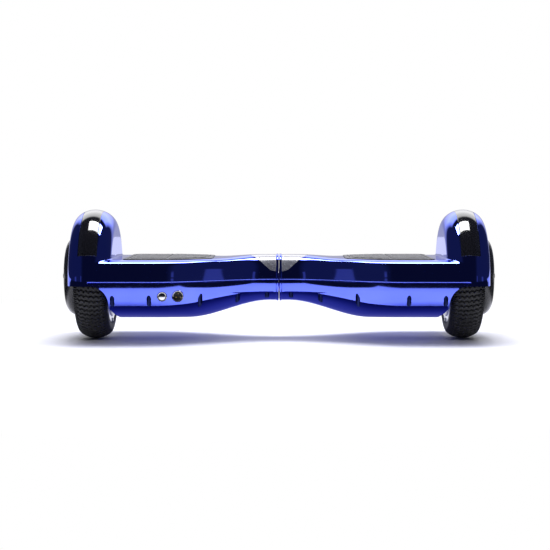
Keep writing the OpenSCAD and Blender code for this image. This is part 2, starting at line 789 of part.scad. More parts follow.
BOARD_T = 1.6;
BOARD_Z = CHASSIS_Z + CHASSIS_T + 0.6;
module pad_actuators() {
    color(BLACK) for (x = ACTUATORS_X)
        translate([x - ACTUATOR_SIZE[0] / 2, -ACTUATOR_SIZE[1] / 2, BOARD_Z + BOARD_T + 2.4])
            cube([ACTUATOR_SIZE[0], ACTUATOR_SIZE[1], pad_low_z - BOARD_Z - BOARD_T - 2.4]);
}

module sensor_board() {
    color(BOARD) difference() {
        translate([108, -34, CHASSIS_Z + CHASSIS_T]) cube([80, 68, BOARD_T]);
        for (x = [112, 184]) for (f = [-1, 1])
            translate([x, f * 30, CHASSIS_Z]) cylinder(h = 20, r = 1.6);
    }
    color(BLACK) {
        for (x = ACTUATORS_X)
            translate([x - 3, -4, CHASSIS_Z + CHASSIS_T + BOARD_T - EPS]) cube([6, 8, 1]);
        translate([140, -8, CHASSIS_Z + CHASSIS_T + BOARD_T - EPS]) cube([16, 16, 1.5]);
    }
}

module indicator_board() {
    color(BOARD) translate([10, -11, body_z + BOSS_R]) cube([24, 22, BOARD_T]);
    color(LENS) for (x = [15, 22, 29])
        translate([x - 1.5, -1.5, body_z + BOSS_R + BOARD_T - EPS]) cube([3, 3, 1.2]);
}

// ---- Power and electronics ----

PACK_FROM = 90;
PACK_TO = 183;
PACK_HALF = 42;
PACK_EDGE = 8;
PACK_Z = 47.5;
PACK_H = 29;
module battery_pack() {
    color(BLUE) translate([PACK_FROM, -PACK_HALF, PACK_Z]) {
        translate([0, PACK_EDGE, 0])
            cube([PACK_TO - PACK_FROM, 2 * (PACK_HALF - PACK_EDGE), PACK_H]);
        translate([0, 0, PACK_EDGE]) cube([PACK_TO - PACK_FROM, 2 * PACK_HALF, PACK_H - PACK_EDGE]);
    }
}

STRAP_W = 14;
STRAP_T = 1.5;
module battery_bracket() {
    color(STEEL) for (x = [PACK_FROM + 18, PACK_TO - 18 - STRAP_W]) translate([x, 0, 0]) {
        translate([0, -PACK_HALF - STRAP_T, PACK_Z + PACK_H])
            cube([STRAP_W, 2 * (PACK_HALF + STRAP_T), STRAP_T]);
        for (f = [-1, 1]) {
            translate([0, f * (PACK_HALF + STRAP_T / 2) - STRAP_T / 2, PACK_Z + PACK_EDGE])
                cube([STRAP_W, STRAP_T, CHASSIS_Z - PACK_Z - PACK_EDGE]);
            translate([0, f * (PACK_HALF + 5) - 5, CHASSIS_Z - STRAP_T])
                cube([STRAP_W, 10, STRAP_T]);
        }
    }
}

BOARD_LOW_Z = 60;
FIN_H = 8;
module main_board() {
    color(BOARD) translate([PACK_FROM, -PACK_HALF, BOARD_LOW_Z])
        cube([PACK_TO - PACK_FROM, 2 * PACK_HALF, BOARD_T]);
    color(BLACK) for (k = [0:5])
        translate([PACK_FROM + 8 + 13 * k, -30, BOARD_LOW_Z - 8]) cube([9, 4, 8 + EPS]);
    color(DARK_BLUE) for (k = [0:2])
        translate([PACK_FROM + 16 + 22 * k, 16, BOARD_LOW_Z - 12 + EPS])
            cylinder(h = 12, r = 6.3);
}

module board_heatsink() {
    color(ALUMINIUM) {
        translate([PACK_FROM + 14, -27, BOARD_LOW_Z + BOARD_T])
            cube([PACK_TO - PACK_FROM - 28, 54, 4]);
        for (k = [0:6]) translate([PACK_FROM + 14, -27 + 8.6 * k, BOARD_LOW_Z + BOARD_T + 4 - EPS])
            cube([PACK_TO - PACK_FROM - 28, 2.4, FIN_H]);
    }
}

// The socket and the switch sit in the left half's rear flank
NUT_T = 3;
NUT_R = 9.4;
SOCKET_DEPTH = 22;
MOUTH_DEPTH = 5;
CONTACTS_DEPTH = 9;
CONTACTS_R = socket_bore / 2 - 0.6;
thread_in_socket = SOCKET_RING_R - 1;
thread_in_switch = BUTTON_RING_R - 1;

module socket_bar(from, to, r) { across(socket_x, control_z, socket_y + from, socket_y + to, r); }
module switch_bar(from, to, r) { across(button_x, control_z, switch_y + from, switch_y + to, r); }

module charge_socket() {
    color(STEEL) difference() {
        union() {
            socket_bar(0, RING_T, SOCKET_RING_R);
            socket_bar(0, SOCKET_DEPTH, thread_in_socket);
        }
        socket_bar(-1, MOUTH_DEPTH, socket_bore / 2);
        socket_bar(0, SOCKET_DEPTH + 1, CONTACTS_R);
    }
}

PIN_RING_R = 3.2;
CONTACT_R = 1.1;
module charge_contacts() {
    color(BLACK) difference() {
        socket_bar(CONTACTS_DEPTH, SOCKET_DEPTH - 2, CONTACTS_R);
        for (k = [0:2]) socket_pin(k, MOUTH_DEPTH);
    }
    color(BRONZE) for (k = [0:2]) socket_pin(k, MOUTH_DEPTH + 0.4);
}
module socket_pin(k, from) {
    translate([PIN_RING_R * cos(90 + 120 * k), 0, PIN_RING_R * sin(90 + 120 * k)])
        socket_bar(from, SOCKET_DEPTH - 4, CONTACT_R, $fn = 24);
}

// A nut around a control, tight against its seat
module control_nut(x, face) {
    translate([x, face + CONTROL_SEAT + NUT_T, control_z]) rotate([90, 0, 0])
        cylinder(h = NUT_T, r = NUT_R, $fn = 6);
}

module socket_nut() {
    color(STEEL) difference() {
        control_nut(socket_x, socket_y);
        socket_bar(0, SOCKET_DEPTH, thread_in_socket);
    }
}

BUTTON_R = 4.4;
BUTTON_PROUD = 1.6;
SWITCH_DEPTH = 20;
SWITCH_BACK = 3;
module switch_body() {
    color(STEEL) difference() {
        union() {
            switch_bar(0, RING_T, BUTTON_RING_R);
            switch_bar(0, SWITCH_DEPTH, thread_in_switch);
            control_nut(button_x, switch_y);
        }
        switch_bar(-1, SWITCH_DEPTH - SWITCH_BACK, BUTTON_R + 0.1);
    }
}

DOME_R = 14;
module power_button() {
    color(ALUMINIUM) intersection() {
        switch_bar(-BUTTON_PROUD, SWITCH_DEPTH - SWITCH_BACK - button_travel - 0.5, BUTTON_R);
        translate([button_x, switch_y - BUTTON_PROUD + DOME_R, control_z]) union() {
            sphere(r = DOME_R, $fn = FINE);
            rotate([-90, 0, 0]) cylinder(h = SWITCH_DEPTH, r = DOME_R);
        }
    }
}

left() upper_shell();  // left_upper_shell
left() lower_shell(true);  // left_lower_shell
left() chassis(PIVOT_R, PIVOT_R, PACK_Z + PACK_H);  // left_chassis
left() color(BLACK) fender_strip();  // left_fender_strip
left() indicator_lens();  // left_indicator_lens
left() indicator_board();  // left_indicator_board
left() sensor_board();  // left_sensor_board
left() axle_clamp();  // left_axle_clamp
left() clamp_bolts();  // left_clamp_bolts
left() shell_screws();  // left_shell_screws
left() motor_axle();  // left_motor_axle
left() stator();  // left_stator
left() headlamp();  // left_headlamp
left() battery_pack();
left() battery_bracket();
charge_socket();
charge_contacts();
socket_nut();
switch_body();
pivot_tube();
pivot_pin();
left() tyre();  // left_tyre
left() rotor();  // left_rotor
left() magnets();  // left_magnets
left() motor_cover();  // left_motor_cover
left() bearing(IN_BEARING_X, IN_BEARING);  // left_inner_bearing
left() bearing(OUT_BEARING_X, OUT_BEARING);  // left_outer_bearing
left() hub_cap();  // left_hub_cap
left() cover_screws();  // left_cover_screws
left() footpad();  // left_footpad
left() pad_actuators();  // left_pad_actuators
power_button();
upper_shell();  // right_upper_shell
lower_shell();  // right_lower_shell
chassis(PIVOT_R + 0.6, BUSH_R, BOARD_LOW_Z + BOARD_T);  // right_chassis
color(BLACK) fender_strip();  // right_fender_strip
indicator_lens();  // right_indicator_lens
indicator_board();  // right_indicator_board
sensor_board();  // right_sensor_board
axle_clamp();  // right_axle_clamp
clamp_bolts();  // right_clamp_bolts
shell_screws();  // right_shell_screws
motor_axle();  // right_motor_axle
stator();  // right_stator
headlamp();  // right_headlamp
main_board();
board_heatsink();
pivot_bushings();
pivot_circlip();
tyre();  // right_tyre
rotor();  // right_rotor
magnets();  // right_magnets
motor_cover();  // right_motor_cover
bearing(IN_BEARING_X, IN_BEARING);  // right_inner_bearing
bearing(OUT_BEARING_X, OUT_BEARING);  // right_outer_bearing
hub_cap();  // right_hub_cap
cover_screws();  // right_cover_screws
footpad();  // right_footpad
pad_actuators();  // right_pad_actuators
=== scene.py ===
# The looks of a two-wheeled self-balancing board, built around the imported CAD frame.
# Sizes in this file are millimetres in the frame's own axes; meshes are scaled to metres as
# they are made. Shells, pads, lamps and wheels are built on the right half and mirrored for the
# left, whose lower shell also seats the controls. The controls are built in place.
import math

import bmesh
import bpy
import numpy as np
from mathutils import Matrix, Vector


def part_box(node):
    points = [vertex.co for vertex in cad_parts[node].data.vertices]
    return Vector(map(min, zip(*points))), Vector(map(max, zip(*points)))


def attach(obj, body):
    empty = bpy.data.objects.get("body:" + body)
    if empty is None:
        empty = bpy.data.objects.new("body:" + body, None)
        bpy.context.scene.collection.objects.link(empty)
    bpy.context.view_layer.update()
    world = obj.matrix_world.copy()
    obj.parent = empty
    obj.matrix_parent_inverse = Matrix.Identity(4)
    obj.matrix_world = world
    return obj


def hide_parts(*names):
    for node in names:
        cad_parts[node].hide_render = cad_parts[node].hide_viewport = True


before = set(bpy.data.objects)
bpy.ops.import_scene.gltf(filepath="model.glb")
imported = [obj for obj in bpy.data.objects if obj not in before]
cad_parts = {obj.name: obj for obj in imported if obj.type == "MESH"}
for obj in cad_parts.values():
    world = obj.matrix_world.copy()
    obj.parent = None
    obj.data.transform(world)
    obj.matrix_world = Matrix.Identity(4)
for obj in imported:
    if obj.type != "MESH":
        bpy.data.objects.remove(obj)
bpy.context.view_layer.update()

MM = 0.001
# Cuts run to these places, past everything, across the board, above it and beyond its end
FAR_Y = 150
ABOVE = 200
PAST_END = 400
SIDES = {"left": -1, "right": 1}


def box_mm(node):
    """Lowest and highest corner of a CAD node, in millimetres."""
    low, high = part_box(node)
    return np.array(low) / MM, np.array(high) / MM


# ---- Sizes taken from the frame ----

TYRE_LOW, TYRE_HIGH = box_mm("right_tyre")
SHELL_LOW, SHELL_HIGH = box_mm("right_upper_shell")
BELLY_LOW, BELLY_HIGH = box_mm("right_lower_shell")
PAD_LOW, PAD_HIGH = box_mm("right_footpad")
LENS_LOW, LENS_HIGH = box_mm("right_indicator_lens")
STRIP_LOW, STRIP_HIGH = box_mm("right_fender_strip")
CAP_LOW, CAP_HIGH = box_mm("right_hub_cap")
LAMP_LOW, LAMP_HIGH = box_mm("right_headlamp")
COVER_LOW, COVER_HIGH = box_mm("right_motor_cover")
SWITCH_BOX = box_mm("switch_body")
SOCKET_BOX = box_mm("charge_socket")
CONTACT_BOX = box_mm("charge_contacts")
CONTROL_BOX = box_mm("power_button")

AXLE_Z = (TYRE_LOW[2] + TYRE_HIGH[2]) / 2
TYRE_R = (TYRE_HIGH[2] - TYRE_LOW[2]) / 2
TYRE_X = (TYRE_LOW[0] + TYRE_HIGH[0]) / 2
TYRE_W = TYRE_HIGH[0] - TYRE_LOW[0]
FENDER_R = SHELL_HIGH[1]
FENDER_OUT = SHELL_HIGH[0]
# The height where the shells meet, which is also the fender's middle and the pivot's axis
BODY_Z = STRIP_HIGH[2] - FENDER_R
FENDER_LOW = SHELL_LOW[2]
SIDE_DEPTH = BELLY_HIGH[1]
BELLY = BODY_Z - BELLY_LOW[2]
SHELL_FROM = SHELL_LOW[0]
EAR_OUT = BELLY_HIGH[0]

# ---- The body's outline, with the CAD model's sizes ----

NECK_DEPTH = 30
NECK_TOP = 32.5
DECK_TOP = 29
NECK_BELLY = 29
WALL = 2.5
FENDER_IN = 219
FLARE = (10, 165)
BELLY_RUN = (13, 120)
DROP = (26, 82)
SQUARE = (20, 110)
NECK_POWER = 3.2
TOP_POWER = 10
LOW_POWER = 3
TOP_DRAFT = 0.03
# The fender's crown: an ellipse's quarter to each side of the strip's middle, rounder than the
# CAD model's, with how far each side drops
CORNER_IN = 24
CORNER_OUT = 22
CROWN_X = (STRIP_LOW[0] + STRIP_HIGH[0]) / 2
CROWN_IN = CROWN_X - FENDER_IN
CROWN_OUT = FENDER_OUT - CROWN_X
LIP_R = 62
SEAM = 0.15


def ease(t):
    u = np.clip(t, 0, 1)
    return u * u * (3 - 2 * u)


def between(x, run, a, b):
    return a + (b - a) * ease((x - run[0]) / (run[1] - run[0]))


def depth_at(x):
    return between(x, FLARE, NECK_DEPTH, SIDE_DEPTH)


def top_at(x):
    return between(x, DROP, NECK_TOP, DECK_TOP)


def belly_at(x):
    return between(x, BELLY_RUN, NECK_BELLY, BELLY)


def reach(angle, depth, height, power, draft):
    """Distance from the axle line to a drafted superellipse, in the direction of angle."""
    c, s = np.abs(np.cos(angle)), np.abs(np.sin(angle))
    shrink = 1.0
    for _ in range(10):
        r = ((c / (depth * shrink)) ** power + (s / height) ** power) ** (-1 / power)
        shrink = 1 - draft * np.clip(r * s / height, 0, 1)
    return r


def upper_reach(x, angle, inset=0.0):
    power = between(x, SQUARE, NECK_POWER, TOP_POWER)
    return reach(angle, depth_at(x) - inset, top_at(x) - inset, power, TOP_DRAFT)


def lower_reach(x, angle, inset=0.0):
    return reach(angle, depth_at(x) - inset, belly_at(x) - inset, LOW_POWER, 0)


# ---- Mesh helpers ----


def new_object(name, verts, faces, smooth=True, sharp_deg=35.0):
    """An object from vertices in millimetres."""
    mesh = bpy.data.meshes.new(name)
    mesh.from_pydata((np.asarray(verts, float) * MM).tolist(), [], faces)
    mesh.validate()
    obj = bpy.data.objects.new(name, mesh)
    bpy.context.scene.collection.objects.link(obj)
    if smooth:
        shade(obj, sharp_deg)
    return obj


def shade(obj, sharp_deg=35.0):
    """Smooth shading that breaks at edges sharper than sharp_deg."""
    obj.data.polygons.foreach_set("use_smooth", [True] * len(obj.data.polygons))
    obj.data.set_sharp_from_angle(angle=math.radians(sharp_deg))


def grid_faces(rows, cols, wrap_rows=False, wrap_cols=False):
    """Quads of a grid whose vertices are listed row by row."""
    faces = []
    for i in range(rows if wrap_rows else rows - 1):
        a, b = i * cols, (i + 1) % rows * cols
        for j in range(cols if wrap_cols else cols - 1):
            k = (j + 1) % cols
            faces.append((a + j, b + j, b + k, a + k))
    return faces


def solid_from_rings(name, rings, **shading):
    """A closed solid through rings of points, each ring closed on itself, with flat ends."""
    rings = np.asarray(rings)
    rows, cols = rings.shape[:2]
    faces = grid_faces(rows, cols, wrap_cols=True)
    faces.append(tuple(range(cols)))
    faces.append(tuple((rows - 1) * cols + j for j in reversed(range(cols))))
    obj = new_object(name, rings.reshape(-1, 3), faces, **shading)
    face_outward(obj)
    return obj


def face_outward(obj):
    bm = bmesh.new()
    bm.from_mesh(obj.data)
    bmesh.ops.remove_doubles(bm, verts=bm.verts, dist=1e-6)
    bmesh.ops.recalc_face_normals(bm, faces=bm.faces)
    bm.to_mesh(obj.data)
    bm.free()


def prism(name, outline, axis, low, high):
    """A closed solid: a 2D outline stretched along one axis, 0 to 2, from low to high."""
    outline = np.asarray(outline, float)
    rings = []
    for level in (low, high):
        ring = np.insert(outline, axis, level, axis=1)
        rings.append(ring)
    return solid_from_rings(name, rings, smooth=False)


def circle_points(cx, cy, r, count=64):
    t = np.linspace(0, 2 * math.pi, count, endpoint=False)
    return np.stack([cx + r * np.cos(t), cy + r * np.sin(t)], axis=1)


def lathe(name, profile, angle=(0, 360), steps=192, z=None, **shading):
    """Turns an (x, radius) outline about a line along X at height z, the axle's if not given.
    Angle 0 is towards +Y, 90 is up."""
    z = AXLE_Z if z is None else z
    profile = np.asarray(profile, float)
    whole = abs(angle[1] - angle[0]) >= 360
    t = np.radians(np.linspace(*angle, steps, endpoint=not whole))
    x = np.repeat(profile[None, :, 0], len(t), axis=0)
    r = profile[None, :, 1]
    rings = np.stack([x, r * np.cos(t)[:, None], z + r * np.sin(t)[:, None]], axis=2)
    rows, cols = rings.shape[:2]
    faces = grid_faces(rows, cols, wrap_rows=whole, wrap_cols=True)
    if not whole:
        faces.append(tuple(range(cols)))
        faces.append(tuple((rows - 1) * cols + j for j in reversed(range(cols))))
    obj = new_object(name, rings.reshape(-1, 3), faces, **shading)
    face_outward(obj)
    return obj


def apply_modifiers(obj):
    depsgraph = bpy.context.evaluated_depsgraph_get()
    mesh = bpy.data.meshes.new_from_object(obj.evaluated_get(depsgraph))
    old = obj.data
    obj.modifiers.clear()
    obj.data = mesh
    bpy.data.meshes.remove(old)


def boolean(obj, others, operation="DIFFERENCE"):
    """Applies a boolean with each of the others in turn, and removes them."""
    for other in others:
        mod = obj.modifiers.new("cut", "BOOLEAN")
        mod.operation = operation
        mod.object = other
        mod.solver = "MANIFOLD"
        apply_modifiers(obj)
        bpy.data.objects.remove(other)
    return obj


def duplicate(obj, name):
    copy = obj.copy()
    copy.data = obj.data.copy()
    copy.name = name
    bpy.context.scene.collection.objects.link(copy)
    return copy


def mirrored(obj, name):
    """The same piece on the left half."""
    copy = duplicate(obj, name)
    copy.data.transform(Matrix.Scale(-1, 4, Vector((1, 0, 0))))
    copy.data.flip_normals()
    return copy


def joined(obj, others):
    """One object holding several closed meshes."""
    bm = bmesh.new()
    bm.from_mesh(obj.data)
    for other in others:
        bm.from_mesh(other.data)
    bm.to_mesh(obj.data)
    bm.free()
    for other in others:
        bpy.data.objects.remove(other)
    return obj


# ---- Shader helpers ----


def material(name):
    mat = bpy.data.materials.new(name)
    mat.use_nodes = True
    tree = mat.node_tree
    return mat, tree, tree.nodes["Principled BSDF"]


def node(tree, kind, **settings):
    made = tree.nodes.new(kind)
    for key, value in settings.items():
        if key in made.inputs:
            made.inputs[key].default_value = value
        else:
            setattr(made, key, value)
    return made


def object_coords(tree, scale=(1, 1, 1)):
    coords = node(tree, "ShaderNodeTexCoord")
    mapping = node(tree, "ShaderNodeMapping", Scale=scale)
    tree.links.new(coords.outputs["Object"], mapping.inputs["Vector"])
    return mapping.outputs["Vector"]


def noise(tree, vector, scale, detail):
    made = node(tree, "ShaderNodeTexNoise", Scale=scale, Detail=detail)
    tree.links.new(vector, made.inputs["Vector"])
    return made.outputs["Fac"]


def ramp(tree, value, stops):
    """Maps a value to colours or greys given as (place, colour) stops."""
    made = node(tree, "ShaderNodeValToRGB")
    while len(made.color_ramp.elements) < len(stops):
        made.color_ramp.elements.new(0.5)
    for element, (place, colour) in zip(made.color_ramp.elements, stops):
        element.position = place
        if isinstance(colour, (int, float)):
            colour = (colour, colour, colour)
        element.color = (*colour, 1)
    tree.links.new(value, made.inputs["Fac"])
    return made.outputs["Color"]


def bump(tree, shader, height, distance, strength):
    made = node(tree, "ShaderNodeBump", Strength=strength, Distance=distance)
    tree.links.new(height, made.inputs["Height"])
    tree.links.new(made.outputs["Normal"], shader.inputs["Normal"])


def chrome_blue():
    """Blue chrome plating: a mirror with slight waviness, fine handling marks and dust."""
    mat, tree, shader = material("blue_chrome")
    shader.inputs["Metallic"].default_value = 1.0
    coords = object_coords(tree)
    dust = noise(tree, coords, 900, 3)
    haze = noise(tree, coords, 14, 5)
    tree.links.new(ramp(tree, haze, [(0.3, (0.135, 0.19, 0.98)), (0.7, (0.165, 0.225, 1.0))]),
                   shader.inputs["Base Color"])
    tree.links.new(ramp(tree, dust, [(0.45, 0.03), (0.72, 0.075)]), shader.inputs["Roughness"])
    waves = noise(tree, coords, 14, 0)
    bump(tree, shader, waves, 0.0004, 0.25)
    return mat


def plain(name, colour, roughness, metallic=0.0, grain=600, grain_depth=0.00004, spread=0.15,
          coat=0.0, brush=(1, 1, 1)):
    """A moulded, cast or brushed surface with a fine grain and slight variation."""
    mat, tree, shader = material(name)
    shader.inputs["Metallic"].default_value = metallic
    shader.inputs["Coat Weight"].default_value = coat
    coords = object_coords(tree, brush)
    broad = noise(tree, coords, 35, 5)
    fine = noise(tree, coords, grain, 3)
    low = tuple(c * (1 - spread) for c in colour)
    high = tuple(min(c * (1 + spread), 1) for c in colour)
    tree.links.new(ramp(tree, broad, [(0.3, low), (0.7, high)]), shader.inputs["Base Color"])
    tree.links.new(ramp(tree, fine, [(0.3, max(roughness - 0.07, 0.02)), (0.7, roughness + 0.07)]),
                   shader.inputs["Roughness"])
    bump(tree, shader, fine, grain_depth, 0.6)
    return mat


def make_materials():
    return {
        "blue": chrome_blue(),
        "gloss_black": plain("gloss_black", (0.006, 0.006, 0.008), 0.09, grain=900,
                             grain_depth=0.0000005, coat=1.0),
        "lens": plain("smoked_lens", (0.40, 0.40, 0.43), 0.24, metallic=0.7, grain=900,
                      grain_depth=0.000001, coat=0.5, spread=0.05),
        "tyre": plain("tyre_rubber", (0.013, 0.013, 0.014), 0.6, grain=900, spread=0.3,
                      grain_depth=0.00004),
        "pad": plain("pad_rubber", (0.075, 0.075, 0.078), 0.46, grain=800, spread=0.25,
                     grain_depth=0.00006),
        "black": plain("black_plastic", (0.022, 0.022, 0.024), 0.42, grain=1100, spread=0.2,
                       grain_depth=0.00005),
        "cap": plain("cap_plastic", (0.014, 0.014, 0.016), 0.26, grain=1100, spread=0.2,
                     grain_depth=0.00002, coat=0.3),
        "cast": plain("cast_aluminium", (0.62, 0.63, 0.65), 0.33, metallic=1.0, grain=700,
                      grain_depth=0.00008),
        "steel": plain("zinc_steel", (0.5, 0.51, 0.53), 0.3, metallic=1.0, grain=900),
        "polished": plain("polished_steel", (0.72, 0.73, 0.75), 0.12, metallic=1.0, grain=900,
                          grain_depth=0.00001),
        "brass": plain("contact_brass", (0.75, 0.55, 0.25), 0.25, metallic=1.0),
        "bushing": plain("oiled_bronze", (0.09, 0.06, 0.03), 0.5, metallic=1.0, grain=1500,
                         grain_depth=0.00001, spread=0.3),
        "copper": plain("enamelled_copper", (0.55, 0.24, 0.1), 0.35, metallic=0.8, grain=1500,
                        brush=(0.2, 1, 1)),
        "board": plain("solder_mask", (0.02, 0.16, 0.05), 0.35, coat=0.4),
        "cells": plain("cell_wrap", (0.03, 0.09, 0.4), 0.3, coat=0.3),
        # The screw wells' walls: a dark metallic copy of the blue plating, painted shade in the wells
        "bore": plain("bore_painted_shade", (0.02, 0.03, 0.13), 0.3, metallic=1.0, grain=900),
        "button": plain("button_metal", (0.78, 0.78, 0.8), 0.16, metallic=1.0, grain=900,
                        grain_depth=0.00001),
        "lamp": plain("headlamp_plastic", (0.75, 0.77, 0.8), 0.12, grain=400, coat=1.0),
    }


MATS = make_materials()


def dress(obj, name):
    obj.data.materials.clear()
    obj.data.materials.append(MATS[name])


# ---- CAD nodes that keep their shape ----

NODE_FINISH = {
    "chassis": "cast", "indicator_board": "board", "sensor_board": "board", "axle_clamp": "cast",
    "clamp_bolts": "steel", "shell_screws": "steel", "motor_axle": "steel", "stator": "copper",
    "battery_pack": "cells", "battery_bracket": "steel", "charge_socket": "black",
    "charge_contacts": "brass", "socket_nut": "steel", "switch_body": "black",
    "pivot_tube": "polished", "pivot_pin": "steel", "pivot_circlip": "steel",
    "main_board": "board", "board_heatsink": "cast", "pivot_bushings": "bushing",
    "rotor": "cast", "magnets": "steel", "motor_cover": "cast", "inner_bearing": "polished",
    "outer_bearing": "polished", "cover_screws": "steel", "pad_actuators": "black",
    "upper_shell": "blue", "lower_shell": "blue", "fender_strip": "gloss_black",
    "indicator_lens": "lens", "headlamp": "lamp", "tyre": "tyre", "hub_cap": "cap",
    "footpad": "pad", "power_button": "polished",
}

for name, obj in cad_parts.items():
    kind = name.split("_", 1)[1] if name.split("_", 1)[0] in SIDES else name
    finish = MATS[NODE_FINISH[kind]]
    if obj.material_slots:
        for slot in obj.material_slots:
            slot.material = finish
    else:
        obj.data.materials.append(finish)

# ---- Outlines in plan ----


def convex_inset(points, distance):
    """Moves every edge of a convex outline, listed anticlockwise, inward by a distance."""
    points = np.asarray(points, float)
    ahead = np.roll(points, -1, axis=0) - points
    ahead /= np.linalg.norm(ahead, axis=1)[:, None]
    normal = np.stack([ahead[:, 1], -ahead[:, 0]], axis=1)
    level = (points * normal).sum(axis=1) - distance
    back = np.roll(normal, 1, axis=0)
    back_level = np.roll(level, 1)
    det = back[:, 0] * normal[:, 1] - back[:, 1] * normal[:, 0]
    x = (back_level * normal[:, 1] - level * back[:, 1]) / det
    y = (back[:, 0] * level - normal[:, 0] * back_level) / det
    return np.stack([x, y], axis=1), normal


def rounded_outline(points, corner, grow=0.0, steps=8):
    """A convex outline with its corners rounded to a radius, then grown."""
    core, normal = convex_inset(points, corner)
    out = []
    for i, spot in enumerate(core):
        a = math.atan2(normal[i - 1][1], normal[i - 1][0])
        b = math.atan2(normal[i][1], normal[i][0])
        turn = (b - a) % (2 * math.pi)
        for k in range(steps + 1):
            t = a + turn * k / steps
            out.append(spot + (corner + grow) * np.array([math.cos(t), math.sin(t)]))
    return np.array(out)


PAD_MARGIN = 17
PAD_ROUND = 9
PAD_STATIONS = (0, 0.12, 0.25, 0.4, 0.6, 1)


def pad_outline(grow=0.0, steps=8):
    spots = [PAD_LOW[0] + s * (PAD_HIGH[0] - PAD_LOW[0]) for s in PAD_STATIONS]
    half = [min(PAD_HIGH[1], depth_at(x) - PAD_MARGIN) for x in spots]
    edge = [(x, -y) for x, y in zip(spots, half)]
    back = [(x, y) for x, y in zip(reversed(spots), reversed(half))]
    return rounded_outline(edge + back, PAD_ROUND, grow, steps)


def lens_outline(grow=0.0, steps=48):
    tip = LENS_HIGH[0] + grow
    half = LENS_HIGH[1] + grow
    x = tip * np.sin(np.linspace(0, math.pi / 2, steps))
    x = x[x > LENS_LOW[0] - grow + 0.2]
    x = np.concatenate([[LENS_LOW[0] - grow], x])
    y = half * np.maximum(1 - (x / tip) ** 3, 0) ** 0.4
    right = np.stack([x, -y], axis=1)
    return np.concatenate([right, right[::-1][1:] * [1, -1]])


# ---- Body skins ----

# Rounding of the edges along the shells' joint
SEAM_ROUND = 0.5
SEAM_HEIGHTS = (-7.0, SEAM - 0.02, SEAM + 0.1, SEAM + 0.25, SEAM + SEAM_ROUND, 1.4)
COLUMN_ANGLES = np.radians(np.concatenate([
    np.arange(4.0, 8.0, 1.0), np.arange(8.0, 26.0, 0.5), np.arange(26.0, 60.0, 1.5),
    np.arange(60.0, 90.0, 2.0)]))
NECK_BEAD = 0.9
BEAD_FROM, BEAD_TO = SHELL_FROM, 3.7


def seam_inset(height):
    h = SEAM + SEAM_ROUND - height
    h = np.clip(h, 0, SEAM_ROUND)
    return SEAM_ROUND - np.sqrt(SEAM_ROUND ** 2 - h ** 2)


def neck_bead(x):
    t = np.clip((x - BEAD_FROM) / (BEAD_TO - BEAD_FROM), 0, 1)
    return NECK_BEAD * np.sqrt(np.maximum(1 - (2 * t - 1) ** 2, 0)) if BEAD_FROM <= x <= BEAD_TO else 0.0


def crown_point(side, angle, draw=0.0):
    """The fender's outline at an angle up from its inner (-1) or outer (1) corner to the top."""
    width, drop = (CROWN_OUT, CORNER_OUT) if side > 0 else (CROWN_IN, CORNER_IN)
    return (CROWN_X + side * (width - draw) * math.cos(angle),
            FENDER_R - drop + (drop - draw) * math.sin(angle))


# Marks along the fender's outside in the plane of its axis, from the axis out and over
PATH_WALL = FENDER_R - CORNER_IN
PATH_TOP = PATH_WALL + 40
PATH_CORNER = PATH_TOP + 38
PATH_END = PATH_CORNER + FENDER_R - CORNER_OUT - LIP_R + 1.5


def fender_path(s):
    """The fender's outside in the plane of its axis: (x, radius) at the length s along it."""
    if s <= PATH_WALL:
        return FENDER_IN, s
    if s <= PATH_TOP:
        return crown_point(-1, math.pi / 2 * (s - PATH_WALL) / (PATH_TOP - PATH_WALL))
    if s <= PATH_CORNER:
        return crown_point(1, math.pi / 2 * (PATH_CORNER - s) / (PATH_CORNER - PATH_TOP))
    return FENDER_OUT, FENDER_R - CORNER_OUT - (s - PATH_CORNER)


FILLET = 4.0


def meet(angle):
    """Where the body runs into the fender in one direction: the length along the fender's path."""
    low, high = 5.0, PATH_TOP
    for _ in range(40):
        s = (low + high) / 2
        x, r = fender_path(s)
        if r < upper_reach(min(x, 215.0), angle):
            low = s
        else:
            high = s
    return low


def column(angle, height=None):
    """Points of the upper skin along one direction about the body's axis, as (x, y, z)."""
    inset = 0.0 if height is None else seam_inset(height)
    s_meet = meet(angle)
    x_meet = fender_path(s_meet)[0]
    x_from = x_meet - FILLET
    points = []

    def body_point(x):
        if height is None:
            r = upper_reach(x, angle) + neck_bead(x)
            return x, r * math.cos(angle), r * math.sin(angle)
        depth = depth_at(x) - inset + neck_bead(x)
        return x, depth, height

    runs = np.concatenate([np.linspace(SHELL_FROM, 4.0, 9), np.linspace(5.0, 200.0, 118)])
    points += [body_point(x) for x in runs]
    points += [body_point(x) for x in np.linspace(200.0, x_from, 9)[1:]]
    corner = np.array(body_point(x_meet))
    start = np.array(points[-1])

    def fender_point(s):
        x, r = fender_path(s)
        drawn = inset if x < EAR_OUT else 0.0
        # Below the joint the fender's skirt runs straight down
        flat = 1.0 if height is not None and height < 0 else math.cos(angle)
        return np.array([x, (r - drawn) * flat, r * math.sin(angle)])

    s_on = s_meet + FILLET
    end = fender_point(s_on)
    for t in np.linspace(0, 1, 11)[1:]:
        points.append((1 - t) ** 2 * start + 2 * t * (1 - t) * corner + t * t * end)
    for run in (np.linspace(s_on, PATH_TOP, 43), np.linspace(PATH_TOP, PATH_CORNER, 33),
                np.linspace(PATH_CORNER, PATH_END, 7)):
        points += [fender_point(s) for s in run[1:]]
    return np.array(points, float)


def upper_skin():
    """The upper shell's outside with the fender grown out of it, as one closed solid."""
    half = [column(math.asin(h / SIDE_DEPTH), h) for h in SEAM_HEIGHTS]
    half += [column(a) for a in COLUMN_ANGLES]
    middle = column(math.pi / 2)
    mirror = [c * [1, -1, 1] for c in reversed(half)]
    columns = np.array(half + [middle] + mirror)
    rings = np.transpose(columns, (1, 0, 2)) + [0, 0, BODY_Z]
    return solid_from_rings("upper_shell", rings)


